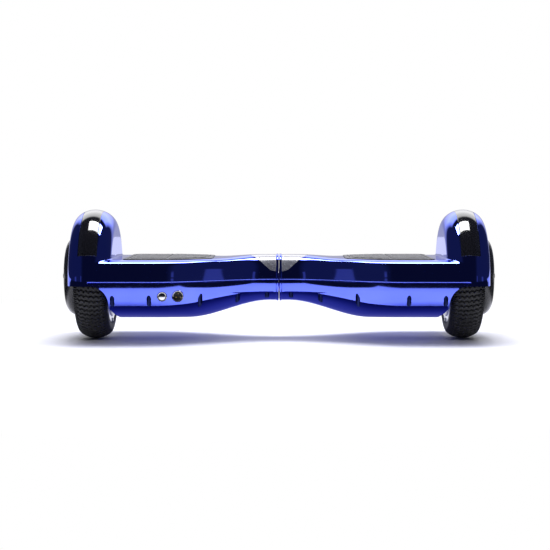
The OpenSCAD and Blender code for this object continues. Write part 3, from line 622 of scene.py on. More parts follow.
def ring_of(x, reacher, inset, start, stop, steps, deepen):
    """One section of a body solid, closed by two points past the joint's plane."""
    angles = np.linspace(start, stop, steps)
    r = reacher(x, angles, inset)
    ring = np.stack([np.full(steps, x), r * np.cos(angles), BODY_Z + r * np.sin(angles)], axis=1)
    ends = [[x, ring[-1][1], BODY_Z + deepen], [x, ring[0][1], BODY_Z + deepen]]
    return np.concatenate([ring, ends])


def body_block(name, upper, inset, x_from, x_to, steps=97, spacing=3.0):
    """A length of the upper or the lower body, drawn in by inset and run past the joint's plane."""
    reacher, start, deepen = (upper_reach, 0, -1.0) if upper else (lower_reach, math.pi, 1.0)
    count = int((x_to - x_from) / spacing) + 2
    rings = [ring_of(x, reacher, inset, start, start + math.pi, steps, deepen)
             for x in np.linspace(x_from, x_to, count)]
    return solid_from_rings(name, rings)


def box_solid(name, low, high):
    outline = [(low[0], low[1]), (high[0], low[1]), (high[0], high[1]), (low[0], high[1])]
    return prism(name, outline, 2, low[2], high[2])


def bar_x(name, x_from, x_to, r, z, count=96):
    return prism(name, circle_points(0, z, r, count), 0, x_from, x_to)


def bar_y(name, x, z, r, y_from, y_to, count=64):
    return prism(name, circle_points(x, z, r, count), 1, y_from, y_to)


def bar_z(name, x, y, r, z_from, z_to, count=48):
    return prism(name, circle_points(x, y, r, count), 2, z_from, z_to)


SCREWS = ((16, 0.75), (55, 0.72), (103, 0.56), (168, 0.52), (215.5, 0.52))
WELL_R = 3
POST_R = 5.2
SCREW_R = 1.5
SCREW_HEAD_Z = BODY_Z - 8


def low_depth(x, share):
    return depth_at(x) * (1 - share ** LOW_POWER) ** (1 / LOW_POWER)


def screw_spots():
    return [(x, side * low_depth(x, share)) for x, share in SCREWS for side in (-1, 1)]


def fender_band(draw, low=LIP_R, steps=32):
    """The fender's outline drawn in by a thickness, as a closed (x, radius) outline."""
    turn = np.linspace(0, math.pi / 2, steps)
    points = [crown_point(-1, a, draw) for a in turn] + [crown_point(1, a, draw) for a in turn[::-1][1:]]
    return [(FENDER_IN + draw, low)] + points + [(FENDER_OUT - draw, low)]


STRIP_REACH = 68
STRIP_T = 1.2
STRIP_GAP = 0.1
LENS_DROP = 9
TRAY_MARGIN = 3
TRAY_FLOOR = 2
PAD_TRAVEL = 1.5
TRAY_Z = PAD_LOW[2] - PAD_TRAVEL - 0.5
ACTUATORS_X = (118, 178)
NECK_HOLE_R = 18
AXLE_HOLE_R = 16


def strip_outline(outer, inner, half):
    """A piece of the fender's own outline either side of the strip's middle."""
    x = np.linspace(CROWN_X - half, CROWN_X + half, 41)

    def radius(draw):
        over = x - CROWN_X
        wide = np.where(over > 0, CROWN_OUT, CROWN_IN) - draw
        drop = np.where(over > 0, CORNER_OUT, CORNER_IN)
        return FENDER_R - drop + (drop - draw) * np.sqrt(1 - (over / wide) ** 2)

    top = np.stack([x, radius(outer)], axis=1)
    low = np.stack([x, radius(inner)], axis=1)
    return np.concatenate([top, low[::-1]])


def make_upper_shell():
    shell = upper_skin()
    cavity = body_block("cavity", True, WALL, SHELL_FROM + 3, FENDER_IN - WALL)
    tray = prism("tray", pad_outline(TRAY_MARGIN), 2, TRAY_Z - TRAY_FLOOR, ABOVE)
    posts = [bar_z("post", x, y, POST_R - 1, BODY_Z - 2, ABOVE) for x, y in screw_spots()]
    boolean(cavity, [tray] + posts)
    well = lathe("well", fender_band(WALL, 8.0), z=BODY_Z, smooth=False)
    cutters = [
        cavity, well,
        bar_x("opening", FENDER_IN + WALL, FENDER_OUT + 5, LIP_R, BODY_Z, 192),
        bar_x("axle_hole", FENDER_IN - 6, FENDER_IN + 6, AXLE_HOLE_R, AXLE_Z),
        bar_x("neck_hole", -2, SHELL_FROM + 5, NECK_HOLE_R, BODY_Z),
        prism("pocket", pad_outline(0.5), 2, TRAY_Z, ABOVE),
        prism("lens_hole", lens_outline(STRIP_GAP), 2, BODY_Z + LENS_DROP, ABOVE),
        lathe("strip_seat", strip_outline(-3, STRIP_T + STRIP_GAP, STRIP_HALF + STRIP_GAP),
              angle=(90 - STRIP_REACH - 0.1, 90 + STRIP_REACH + 0.1), z=BODY_Z, smooth=False),
        box_solid("under_body", (-5, -FAR_Y, 0), (EAR_OUT + SEAM, FAR_Y, BODY_Z + SEAM)),
        box_solid("under_fender", (EAR_OUT, -FAR_Y, 0), (PAST_END, FAR_Y, FENDER_LOW)),
    ]
    for x in ACTUATORS_X:
        cutters.append(box_solid("slot", (x - 6, -31, BODY_Z), (x + 6, 31, ABOVE)))
    for x, y in screw_spots():
        cutters.append(bar_z("screw_hole", x, y, SCREW_R + 0.1, BODY_Z - 2, SCREW_HEAD_Z + 14))
    boolean(shell, cutters)
    shade(shell)
    return shell


# ---- Lower shell ----

NOTCH_X = 220.5
NOTCH_R = 24
NOTCH_DROP = 4.5
BEVEL_Z = 46
BEVEL_W = 13


def notch_solid(name, grow=0.0):
    top = BODY_Z - NOTCH_DROP - grow
    x = NOTCH_X - grow
    arc = [(x + NOTCH_R - NOTCH_R * math.cos(a), top - NOTCH_R + NOTCH_R * math.sin(a))
           for a in np.linspace(0, math.pi / 2, 25)]
    outline = [(x - BEVEL_W - 6, 0), (x - BEVEL_W, BELLY_LOW[2]), (x, BEVEL_Z)] + arc
    outline += [(PAST_END, top), (PAST_END, 0)]
    return prism(name, outline[::-1], 1, -FAR_Y, FAR_Y)


# The step that runs along the flank from the waist and curves down near the wheel
CREASE_DEPTH = 0.2
CREASE_FROM = 7.5
CREASE_WAIST = -15.8
CREASE_FLANK = -12.3
CREASE_RISE = (50, 100)
CREASE_TURN = 160
CREASE_ARC = (36, 19.7)
CREASE_STEP = 1.1
CREASE_FADE = (1.5, 15.5)


def flank_relief(x, height):
    """How far the flank is drawn in at a place along it and a height over the joint."""
    arc_x, arc_z = CREASE_ARC
    if x <= CREASE_TURN:
        line = between(x, CREASE_RISE, CREASE_WAIST, CREASE_FLANK)
        within = np.minimum(line - height, x - CREASE_FROM)
    else:
        u = (x - CREASE_TURN) / arc_x
        v = (height - CREASE_FLANK + arc_z) / arc_z
        size = arc_z + (arc_x - arc_z) * min(u, 1) ** 2
        within = (1 - np.sqrt(u * u + np.maximum(v, 0) ** 2)) * size
    return CREASE_DEPTH * ease(within / CREASE_STEP) * between(within, CREASE_FADE, 1, 0)


def lower_skin():
    """The lower shell's outside down to its underside, as one closed solid."""
    stations = np.concatenate([np.linspace(SHELL_FROM, 4.0, 9), np.linspace(4.6, 9.4, 9),
                               np.linspace(10.5, EAR_OUT, 170)])
    angles = np.concatenate([np.linspace(0, math.pi / 2, 111)[6:-1], [math.pi / 2]])
    heights = np.array([7.0, -SEAM + 0.02, -SEAM - 0.1, -SEAM - 0.25, -SEAM - SEAM_ROUND, -1.4])
    rings = []
    for x in stations:
        bead = neck_bead(x)
        edge = [(-(depth_at(x) - seam_inset(-h) + bead), h) for h in heights]
        r = lower_reach(x, angles) + bead
        y, z = -r * np.cos(angles), -r * np.sin(angles)
        y = y + flank_relief(x, z) * ease(-y / 12)
        side = edge + list(zip(y, z))
        other = [(-p[0], p[1]) for p in reversed(side[:-1])]
        rings.append([(x, p[0], BODY_Z + p[1]) for p in side + other])
    return solid_from_rings("lower_shell", rings)


# The controls, as places on the right half before the left shell is mirrored
BUTTON_X = -(CONTROL_BOX[0][0] + CONTROL_BOX[1][0]) / 2
CONTROL_Z = (CONTROL_BOX[0][2] + CONTROL_BOX[1][2]) / 2
SOCKET_X = -(SOCKET_BOX[0][0] + SOCKET_BOX[1][0]) / 2
BUTTON_FACE = -SWITCH_BOX[0][1]
SOCKET_FACE = -SOCKET_BOX[0][1]
SWITCH_RING_R = 6.4
SOCKET_RING_R = 7.6
RING_T = 4
SEAT_R = 10.4
SEAT_BACK = 15
# The relief at a screw well's mouth: its lean in degrees, and how far under the head it starts
LEAN = 20
LEAN_DROP = 8
LAMP_Z = (LAMP_LOW[2] + LAMP_HIGH[2]) / 2
LAMP_H = LAMP_HIGH[2] - LAMP_LOW[2]
LAMP_L = 50
LAMP_X = LAMP_HIGH[0] - LAMP_L / 2
LAMP_T = 6
CONTROLS = ((BUTTON_X, BUTTON_FACE, SWITCH_RING_R), (SOCKET_X, SOCKET_FACE, SOCKET_RING_R))


def lamp_prism(grow, y_from, y_to):
    points = []
    for side in (1, -1):
        for a in np.linspace(-math.pi / 2, math.pi / 2, 25):
            points.append((LAMP_X + side * ((LAMP_L - LAMP_H) / 2 + (LAMP_H / 2 + grow) * math.cos(a)),
                           LAMP_Z + side * (LAMP_H / 2 + grow) * math.sin(a)))
    return prism("lamp_cut", points, 1, y_from, y_to)


def leaning_well(x, y):
    """The relief under a screw well's mouth, which leans out so the flank meets it more squarely."""
    drop = SCREW_HEAD_Z - LEAN_DROP
    well = bar_z("lean", 0, 0, WELL_R, -drop * 1.3, 0)
    lean = Matrix.Rotation(math.radians(math.copysign(LEAN, y)), 4, "X")
    well.data.transform(Matrix.Translation(Vector((x, y, drop)) * MM) @ lean)
    return well


def make_lower_shell(controls):
    """The lower shell of the right half; with controls, of the left half before mirroring."""
    shell = lower_skin()
    cavity = body_block("cavity", False, WALL, SHELL_FROM + 3, FENDER_IN - WALL)
    keep = [notch_solid("rim", WALL)]
    keep += [bar_z("post", x, y, POST_R, 0, ABOVE) for x, y in screw_spots()]
    if controls:
        for x, face, _ in CONTROLS:
            keep.append(bar_y("seat", x, CONTROL_Z, SEAT_R, -FAR_Y, SEAT_BACK - face))
    boolean(cavity, keep)
    cutters = [
        cavity, notch_solid("notch"),
        bar_x("wheel_room", FENDER_IN + WALL, EAR_OUT + 5, TYRE_R + 3, AXLE_Z, 192),
        bar_x("neck_hole", -2, SHELL_FROM + 5, NECK_HOLE_R, BODY_Z),
        bar_x("axle_hole", FENDER_IN - 6, FENDER_IN + 6, AXLE_HOLE_R, AXLE_Z),
        lamp_prism(STRIP_GAP, 55, 110),
        box_solid("over", (-5, -FAR_Y, BODY_Z - SEAM), (PAST_END, FAR_Y, ABOVE)),
    ]
    for x, y in screw_spots():
        cutters.append(bar_z("head_well", x, y, WELL_R, 0, SCREW_HEAD_Z))
        cutters.append(leaning_well(x, y))
        cutters.append(bar_z("screw_hole", x, y, SCREW_R + 0.2, SCREW_HEAD_Z - 1, ABOVE))
    if controls:
        for x, face, ring in CONTROLS:
            cutters.append(bar_y("ring_seat", x, CONTROL_Z, ring + 0.2, -FAR_Y, RING_T - face))
            cutters.append(bar_y("thread", x, CONTROL_Z, ring - 0.9, -FAR_Y, -60))
    boolean(shell, cutters)
    shade(shell)
    return shell


def paint_bore_shade(shell, side):
    """Paints shade into the screw wells: their walls get their own finish, a dark blue copy of the
    plating.
    """
    shell.data.materials.append(MATS["bore"])
    turn = math.radians(LEAN)
    for face in shell.data.polygons:
        x, y, z = face.center / MM
        if z > SCREW_HEAD_Z + 1 or abs(face.normal.z) > 0.99 and z < SCREW_HEAD_Z - 1:
            continue
        for spot_x, spot_y in screw_spots():
            lean = math.copysign(math.tan(turn), spot_y) * (SCREW_HEAD_Z - LEAN_DROP - z)
            off = math.hypot(x - side * spot_x, y - spot_y)
            leaned = math.hypot(x - side * spot_x, (y - spot_y - lean) * math.cos(turn))
            if min(off, leaned) < WELL_R + 0.02:
                face.material_index = 1
                break


def make_lower_shell_left():
    """The lower shell with the controls' seats, mirrored to the left."""
    piece = make_lower_shell(True)
    left = mirrored(piece, "left_lower_shell_skin")
    bpy.data.objects.remove(piece)
    return left


# ---- Light strip, lens and lamp ----

STRIP_HALF = (STRIP_HIGH[0] - STRIP_LOW[0]) / 2


def make_fender_strip():
    """The gloss strip over the fender, with softened edges and ends."""
    soft = 0.45
    profile = strip_outline(0, STRIP_T, STRIP_HALF)
    count = len(profile) // 2
    top = profile[:count]
    shrink = np.clip((np.abs(top[:, 0] - CROWN_X) - (STRIP_HALF - soft)) / soft, 0, 1)
    top[:, 1] -= soft * (1 - np.sqrt(1 - shrink ** 2)) * 0.9
    profile[:count] = top
    rings = []
    first, last = 90 - STRIP_REACH, 90 + STRIP_REACH
    end = np.array([0, 0.06, 0.15, 0.3, 0.6])
    angles = np.concatenate([first + end, np.linspace(first + 1, last - 1, 180), last - end[::-1]])
    for a in angles:
        past = min(a - first, last - a)
        arc = past * math.pi / 180 * FENDER_R
        t = 1 - min(arc / soft, 1)
        drop = soft * (1 - math.sqrt(1 - t * t)) * 0.9
        turn = math.radians(a)
        ring = []
        for k, (x, r) in enumerate(profile):
            rr = r - (drop if k < count else 0)
            ring.append((x, rr * math.cos(turn), BODY_Z + rr * math.sin(turn)))
        rings.append(ring)
    return solid_from_rings("fender_strip", rings)


def make_lens():
    """The smoked indicator lens, flush with the skin over the waist."""
    lens = body_block("indicator_lens", True, -0.15, SHELL_FROM, LENS_HIGH[0] + 12, steps=241, spacing=0.8)
    inside = body_block("inside", True, 2.0, -1, LENS_HIGH[0] + 16, steps=121, spacing=1.5)
    boolean(lens, [inside])
    boolean(lens, [prism("outline", lens_outline(-0.12), 2, BODY_Z + LENS_DROP, ABOVE)], "INTERSECT")
    shade(lens)
    return lens


def make_headlamp():
    """The lamp window, with its front following the flank and a reeded back."""
    lamp = body_block("headlamp", False, 0.0, LAMP_X - 40, LAMP_X + 40, steps=193, spacing=1.0)
    inside = body_block("inside", False, LAMP_T, LAMP_X - 44, LAMP_X + 44, steps=193, spacing=1.0)
    boolean(lamp, [inside])
    boolean(lamp, [lamp_prism(0, 55, 110)], "INTERSECT")
    reeds = []
    for x in np.arange(LAMP_X - 21, LAMP_X + 22, 3.4):
        reeds.append(bar_z("reed", x, low_depth(x, 0.35) - LAMP_T - 0.3, 1.3, 20, 110, 24))
    boolean(lamp, reeds)
    shade(lamp)
    return lamp


# ---- Foot pad ----

PAD_EDGE = 1.4


def make_footpad():
    """The rubber pad: a slab with a rolled edge and raised treads on its top."""
    top = PAD_HIGH[2] - 0.7
    low = PAD_LOW[2]
    steps = 12
    rings = []
    for grow, z in ((-0.8, low), (0.0, low + 0.8)):
        rings.append(np.insert(pad_outline(grow, steps), 2, z, axis=1))
    for a in np.linspace(0, math.pi / 2, 7):
        grow = -PAD_EDGE * (1 - math.cos(a))
        z = top - PAD_EDGE * (1 - math.sin(a))
        rings.append(np.insert(pad_outline(grow, steps), 2, z, axis=1))
    pad = solid_from_rings("footpad", rings)
    hollow = prism("hollow", pad_outline(-5), 2, low - 1, low + 4)
    feet = [box_solid("foot", (x - 7, -32, low - 2), (x + 7, 32, low + 6)) for x in ACTUATORS_X]
    boolean(hollow, feet)
    boolean(pad, [hollow])
    # A shallow channel that follows the edge, then treads inside it
    channel = prism("channel", pad_outline(-5.5, steps), 2, top - 0.7, top + 5)
    island = prism("island", pad_outline(-7.0, steps), 2, top - 2, top + 6)
    boolean(channel, [island])
    boolean(pad, [channel])
    treads = []
    field = prism("field", pad_outline(-9.5, steps), 2, top - 0.3, PAD_HIGH[2] + 2)
    middle = (PAD_LOW[0] + PAD_HIGH[0]) / 2
    for y in np.arange(-57.2, 60, 5.2):
        section = [(y - 1.9, top - 0.4), (y + 1.9, top - 0.4), (y + 1.5, top + 0.35),
                   (y + 1.1, top + 0.7), (y - 1.1, top + 0.7), (y - 1.5, top + 0.35)]
        for x0, x1 in ((-200, middle - 1.6), (middle + 1.6, PAST_END)):
            treads.append(prism("tread", section, 0, x0, x1))
    whole = joined(treads[0], treads[1:])
    boolean(whole, [field], "INTERSECT")
    boolean(pad, [whole], "UNION")
    shade(pad, 30)
    for face in pad.data.polygons:
        if abs(face.normal.z) > 0.999:
            face.use_smooth = False
    return pad


# ---- Wheel ----

CROWN_R = 31
SHOULDER_R = 10
SIDEWALL_R = 4
BEAD_R = 62
LUGS = 76
LUG_DEPTH = 2.2


def tyre_section():
    """The tyre's outside from one bead to the other, as (x, radius) from the tyre's middle."""
    reach_x = TYRE_W / 2 - SHOULDER_R
    up = math.sqrt((CROWN_R - SHOULDER_R) ** 2 - reach_x ** 2)
    shoulder_r = TYRE_R - CROWN_R + up
    lean = math.atan2(reach_x, up)
    half = []
    for a in np.linspace(0, lean, 22):
        half.append((CROWN_R * math.sin(a), TYRE_R - CROWN_R + CROWN_R * math.cos(a)))
    for a in np.linspace(lean, math.pi / 2, 20)[1:]:
        half.append((reach_x + SHOULDER_R * math.sin(a), shoulder_r + SHOULDER_R * math.cos(a)))
    for a in np.linspace(math.pi / 2, math.pi, 9):
        half.append((TYRE_W / 2 - SIDEWALL_R + SIDEWALL_R * math.sin(a),
                     BEAD_R + SIDEWALL_R + SIDEWALL_R * math.cos(a)))
    half = np.array(half)
    return np.concatenate([half[::-1] * [-1, 1], half[1:]])


def tread_depth(x, turn):
    """How deep the tread is cut at a place across it (mm from its middle) and a turn in radians."""
    lug = turn * LUGS / (2 * math.pi)

    def cut(distance, half, soft):
        return 1 - ease((np.abs(distance) - half) / soft)

    # Each row of lugs ends in a scalloped edge, and short links join the rows
    scallop = np.abs(np.sin(math.pi * x / 6.4))
    phase = (lug + 0.42 * scallop + 0.015 * x) % 1.0 - 0.5
    sipe = cut(phase, 0.09, 0.09) * (1 - ease((np.abs(x) - 16.5) / 1.5))
    rows = 0.0
    for row in (-12.8, -6.4, 0.0, 6.4, 12.8):
        near_sipe = cut((phase + 0.16) % 1.0 - 0.5, 0.2, 0.2)
        rows = np.maximum(rows, cut(x - row, 0.3, 0.4) * 0.45 * (1 - near_sipe))
    notch_phase = (2 * lug + 0.3) % 1.0 - 0.5
    notch = cut(notch_phase, 0.14, 0.1) * ease((np.abs(x) - 16.2) / 1.0) \
        * (1 - ease((np.abs(x) - 21.3) / 0.5))
    return LUG_DEPTH * np.maximum(np.maximum(sipe, rows), 0.8 * notch)


def make_tyre():
    """The tyre with its tread cut into a fine grid, and a bead on the rim."""
    section = tyre_section()
    count = len(section)
    steps = LUGS * 11
    turns = np.linspace(0, 2 * math.pi, steps, endpoint=False)
    tangent = np.gradient(section, axis=0)
    tangent /= np.linalg.norm(tangent, axis=1)[:, None]
    normal = np.stack([-tangent[:, 1], tangent[:, 0]], axis=1)
    x, t = np.meshgrid(section[:, 0], turns, indexing="xy")
    outer = section[:, 1] > BEAD_R + SIDEWALL_R + 2
    depth = np.where(outer[None, :], tread_depth(x, t), 0)
    px = section[None, :, 0] - normal[None, :, 0] * depth
    pr = section[None, :, 1] - normal[None, :, 1] * depth
    inner = np.array([(18.0, BEAD_R), (10, BEAD_R + 3), (-10, BEAD_R + 3), (-18.0, BEAD_R)])
    inner_x = np.repeat(inner[None, :, 0], steps, axis=0)
    inner_r = np.repeat(inner[None, :, 1], steps, axis=0)
    px = np.concatenate([px, inner_x], axis=1) + TYRE_X
    pr = np.concatenate([pr, inner_r], axis=1)
    verts = np.stack([px, pr * np.cos(t[:, :1]), AXLE_Z + pr * np.sin(t[:, :1])], axis=2)
    faces = grid_faces(steps, count + 4, wrap_rows=True, wrap_cols=True)
    tyre = new_object("tyre", verts.reshape(-1, 3), faces, sharp_deg=50)
    face_outward(tyre)
    return tyre


CAP_BACK = CAP_LOW[0]
CAP_FACE = 285.5
CAP_R = 53
CAP_ROUND = 14


def make_hub_cap():
    """The wheel's outer cap: a deep moulded dish with a turned groove and a stepped nub."""
    points = [(CAP_BACK, CAP_R - 2.2), (CAP_BACK, CAP_R - 0.4), (CAP_BACK + 0.4, CAP_R)]
    points += [(CAP_BACK + 1.2, CAP_R), (CAP_BACK + 1.5, CAP_R - 0.4), (CAP_BACK + 1.9, CAP_R - 0.4),
               (CAP_BACK + 2.2, CAP_R)]
    for a in np.linspace(0, math.pi / 2, 25):
        points.append((CAP_FACE - CAP_ROUND * (1 - math.sin(a)), CAP_R - CAP_ROUND * (1 - math.cos(a))))
    face = CAP_R - CAP_ROUND
    points += [(CAP_FACE, face - 1.5), (CAP_FACE - 0.5, face - 2.0), (CAP_FACE - 0.5, face - 3.2),
               (CAP_FACE, face - 3.7)]
    for share in np.linspace(0.9, 0.0, 10):
        r = 9 + (face - 13) * share
        points.append((CAP_FACE + 0.35 * (1 - share), r))
    nub = CAP_HIGH[0]
    points += [(CAP_FACE + 0.5, 6.2), (CAP_FACE + 0.9, 5.4), (CAP_FACE + 1.2, 5.0), (nub - 1.6, 5.0),
               (nub - 1.1, 4.8), (nub - 1.0, 3.9), (nub - 0.5, 3.6), (nub - 0.1, 3.2), (nub, 2.6),
               (nub, 0.3), (CAP_FACE - 2.2, 0.3), (CAP_FACE - 2.2, face)]
    for a in np.linspace(math.pi / 2, 0, 13):
        points.append((CAP_FACE - CAP_ROUND + (CAP_ROUND - 2.2) * math.sin(a),
                       face + (CAP_ROUND - 2.2) * math.cos(a)))
    return lathe("hub_cap", points, steps=192, sharp_deg=32)


def make_motor_cover():
    """The motor's inner cover: a turned disc with a stepped rim, ribs and vent holes."""
    low, high = COVER_LOW[0], COVER_HIGH[0]
    rim = COVER_HIGH[1]
    face = low + 1.5
    points = [(face + 3, rim), (face + 0.4, rim), (face, rim - 0.4), (face, rim - 6.8),
              (low + 0.9, rim - 7.6), (low, rim - 8.2), (low, rim - 12), (low + 0.8, rim - 12.6),
              (low + 0.8, rim - 25), (low, rim - 25.6), (low, rim - 28), (low + 0.8, rim - 28.6),
              (low + 0.8, 23), (low, 22), (low, 12.6), (low + 3.5, 12.6), (low + 3.5, 18),
              (high, 18), (high, 21), (face + 3, 21.5)]
    cover = lathe("motor_cover", points, steps=192, sharp_deg=32)
    cutters = []
    # Vents, then the screws' holes: how many, the first one's angle, their circle and radius
    for count, first, circle, r in ((24, 7.5, rim - 10.1, 2.1), (6, 30, rim - 2.6, 1.3)):
        for k in range(count):
            a = math.radians(first + 360 / count * k)
            hole = bar_x("hole", low - 3, face + 8, r, 0, 24)
            hole.data.transform(Matrix.Translation((0, circle * MM * math.cos(a),
                                                    (AXLE_Z + circle * math.sin(a)) * MM)))
            cutters.append(hole)
    boolean(cover, cutters)
    shade(cover)
    return cover


# ---- Power button, its switch and the charging socket ----

BUTTON_R = 4.4


def lathe_y(name, profile, x, z, steps=96):
    """Turns a (y, radius) outline about a line along Y."""
    profile = np.asarray(profile, float)
    t = np.linspace(0, 2 * math.pi, steps, endpoint=False)
    rings = np.stack([x + profile[None, :, 1] * np.cos(t)[:, None],
                      np.repeat(profile[None, :, 0], steps, axis=0),
                      z + profile[None, :, 1] * np.sin(t)[:, None]], axis=2)
    faces = grid_faces(steps, len(profile), wrap_rows=True, wrap_cols=True)
    obj = new_object(name, rings.reshape(-1, 3), faces, sharp_deg=32)
    face_outward(obj)
    return obj


def hexagon(name, x, z, y0, y1, r, bore):
    """A nut along Y, chamfered, with its bore."""
    nut = prism(name, circle_points(x, z, r, 6), 1, y0, y1)
    mouth = lathe_y("chamfer", [(y0 - 1, r + 3), (y0 - 1, r - 1.6), (y0 + 0.9, r + 0.3),
                                (y0 + 0.9, r + 3)], x, z)
    boolean(nut, [mouth, bar_y("bore", x, z, bore, y0 - 1, y1 + 1)])
    shade(nut)
    return nut


def thread_points(back, stop, thread):
    """A thread's crests and roots from the back towards the ring, as (y, radius)."""
    points = []
    y = back - 0.4
    while y > stop:
        points += [(y, thread), (y - 0.35, thread - 0.35)]
        y -= 0.9
    return points


def make_charge_socket():
    """The charging socket's ring and threaded body, open at its back."""
    face = SOCKET_BOX[0][1]
    back = SOCKET_BOX[1][1]
    ring, bore = SOCKET_RING_R, 6.2
    thread = ring - 1
    points = [(face + RING_T, thread), (face + RING_T, ring), (face + 0.8, ring),
              (face + 0.35, ring - 0.2), (face, ring - 0.7), (face, bore + 0.5), (face + 0.15, bore + 0.2),
              (face + 0.6, bore), (face + 5, bore), (face + 5, bore - 0.6), (back, bore - 0.6),
              (back, thread - 0.3)]
    points += thread_points(back, face + RING_T + 1.5, thread)
    return lathe_y("charge_socket_skin", points, -SOCKET_X, CONTROL_Z)


def make_charge_contacts():
    """The socket's insert: a moulded core with a raised rim, which the pins stand in."""
    low, high = CONTACT_BOX
    back = high[1]
    core = back - 11
    r = (high[0] - low[0]) / 2
    points = [(core + 0.3, 0.2), (core + 0.3, r - 1.4), (core, r - 1.2), (core, r - 0.3),
              (core + 0.3, r), (back, r), (back, 0.2)]
    return lathe_y("charge_contacts_skin", points, (high[0] + low[0]) / 2, CONTROL_Z)


def make_contact_pins():
    """The three round-nosed pins of the charging socket."""
    low, high = CONTACT_BOX
    tip, x = low[1], (high[0] + low[0]) / 2
    pins = []
    for k in range(3):
        a = math.radians(90 + 120 * k)
        pins.append(lathe_y("pin", [(tip, 0.1), (tip, 0.5), (tip + 0.25, 0.85), (tip + 0.7, 1.1),
                                    (tip + 6, 1.1), (tip + 6, 0.1)],
                            x + 3.2 * math.cos(a), CONTROL_Z + 3.2 * math.sin(a), 32))
    return joined(pins[0], pins[1:])


def make_switch_body():
    """The switch's polished ring and threaded body, with its nut."""
    face = SWITCH_BOX[0][1]
    ring, bore = SWITCH_RING_R, BUTTON_R + 0.1
    thread = ring - 1
    back = face + 20
    points = [(face + RING_T, thread), (face + RING_T, ring), (face + 0.7, ring),
              (face + 0.3, ring - 0.2), (face, ring - 0.6), (face, bore + 0.5), (face + 0.1, bore + 0.2),
              (face + 0.5, bore), (face + 17, bore), (face + 17, 0.2), (back, 0.2), (back, thread - 0.3)]
    points += thread_points(back, face + RING_T + 1.5, thread)
    body = lathe_y("switch_body_skin", points, -BUTTON_X, CONTROL_Z)
    nut = hexagon("nut", -BUTTON_X, CONTROL_Z, face + 15, face + 18, 9.4, thread - 0.2)
    return boolean(body, [nut], "UNION")


def make_power_button():
    """The button: a short pin with a slightly domed face."""
    low, high = CONTROL_BOX
    face, back = low[1], high[1]
    dome = 14.0
    points = []
    for r in np.linspace(0.05, BUTTON_R - 0.3, 14):
        points.append((face + dome - math.sqrt(dome ** 2 - r ** 2), r))
    edge = points[-1][0]
    points += [(edge + 0.12, BUTTON_R - 0.1), (edge + 0.4, BUTTON_R), (back - 0.4, BUTTON_R),
               (back, BUTTON_R - 0.4), (back, 0.05)]
    return lathe_y("power_button_skin", points, -BUTTON_X, CONTROL_Z)


# ---- Building and placing the pieces ----


def place(piece, finish, body, slot, *nodes):
    dress(piece, finish)
    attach(piece, body)
    if nodes:
        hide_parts(*nodes)


def both_sides(make, kind, finish, group, slot):
    """One piece built for the right half and mirrored for the left, standing for its CAD nodes."""
    right = make()
    right.name = f"right_{kind}_skin"
    left = mirrored(right, f"left_{kind}_skin")
    for side, piece in (("right", right), ("left", left)):
        place(piece, finish, f"{side}_{group}", slot, f"{side}_{kind}")


both_sides(make_upper_shell, "upper_shell", "blue", "half", "blue_plating")
right_belly = make_lower_shell(False)
right_belly.name = "right_lower_shell_skin"
place(right_belly, "blue", "right_half", "blue_plating", "right_lower_shell")
# The screw wells' walls get painted shade on both lower shells
paint_bore_shade(right_belly, 1)
left_belly = make_lower_shell_left()
place(left_belly, "blue", "left_half", "blue_plating", "left_lower_shell")
paint_bore_shade(left_belly, -1)
both_sides(make_fender_strip, "fender_strip", "gloss_black", "half", "smoked_plastic")
both_sides(make_lens, "indicator_lens", "lens", "half", "lens")
both_sides(make_headlamp, "headlamp", "lamp", "half", "lens")
both_sides(make_footpad, "footpad", "pad", "pad", "pad_rubber")
both_sides(make_tyre, "tyre", "tyre", "wheel", "tyre")
both_sides(make_hub_cap, "hub_cap", "cap", "wheel", "black_plastic")
both_sides(make_motor_cover, "motor_cover", "cast", "wheel", "cast_aluminium")
place(make_charge_socket(), "polished", "left_half", "chrome_ring", "charge_socket")
place(make_charge_contacts(), "black", "left_half", "black_plastic", "charge_contacts")
place(make_contact_pins(), "brass", "left_half", "bronze")
place(make_switch_body(), "polished", "left_half", "chrome_ring", "switch_body")
place(make_power_button(), "button", "button", "button_metal", "power_button")

# ---- Studio ----

# The room's light by direction: a dark front with dim windows, dark sides and a bright back wall
FRONT = (0.012, 0.013, 0.020)
SIDES_DARK = (0.03, 0.035, 0.06)
WINDOW = (0.14, 0.15, 0.23)
BACK_HIGH = (1.9, 1.9, 1.95)
BACK_LOW = (0.5, 0.5, 0.56)


def math_node(tree, operation, a, b=None, clamp=False):
    made = node(tree, "ShaderNodeMath", operation=operation, use_clamp=clamp)
    for slot, value in enumerate((a, b)):
        if value is None:
            continue
        if isinstance(value, (int, float)):
            made.inputs[slot].default_value = value
        else:
            tree.links.new(value, made.inputs[slot])
    return made.outputs["Value"]


def mix_colour(tree, factor, a, b):
    made = node(tree, "ShaderNodeMix", data_type="RGBA")
    tree.links.new(factor, made.inputs["Factor"])
    for slot, value in ((6, a), (7, b)):
        if isinstance(value, tuple):
            made.inputs[slot].default_value = (*value, 1)
        else:
            tree.links.new(value, made.inputs[slot])
    return made.outputs[2]


def window_mask(tree, value, low, high, soft):
    """1 between low and high, falling to 0 over soft."""
    up = math_node(tree, "DIVIDE", math_node(tree, "SUBTRACT", value, low), soft, clamp=True)
    down = math_node(tree, "DIVIDE", math_node(tree, "SUBTRACT", high, value), soft, clamp=True)
    return math_node(tree, "MULTIPLY", up, down)


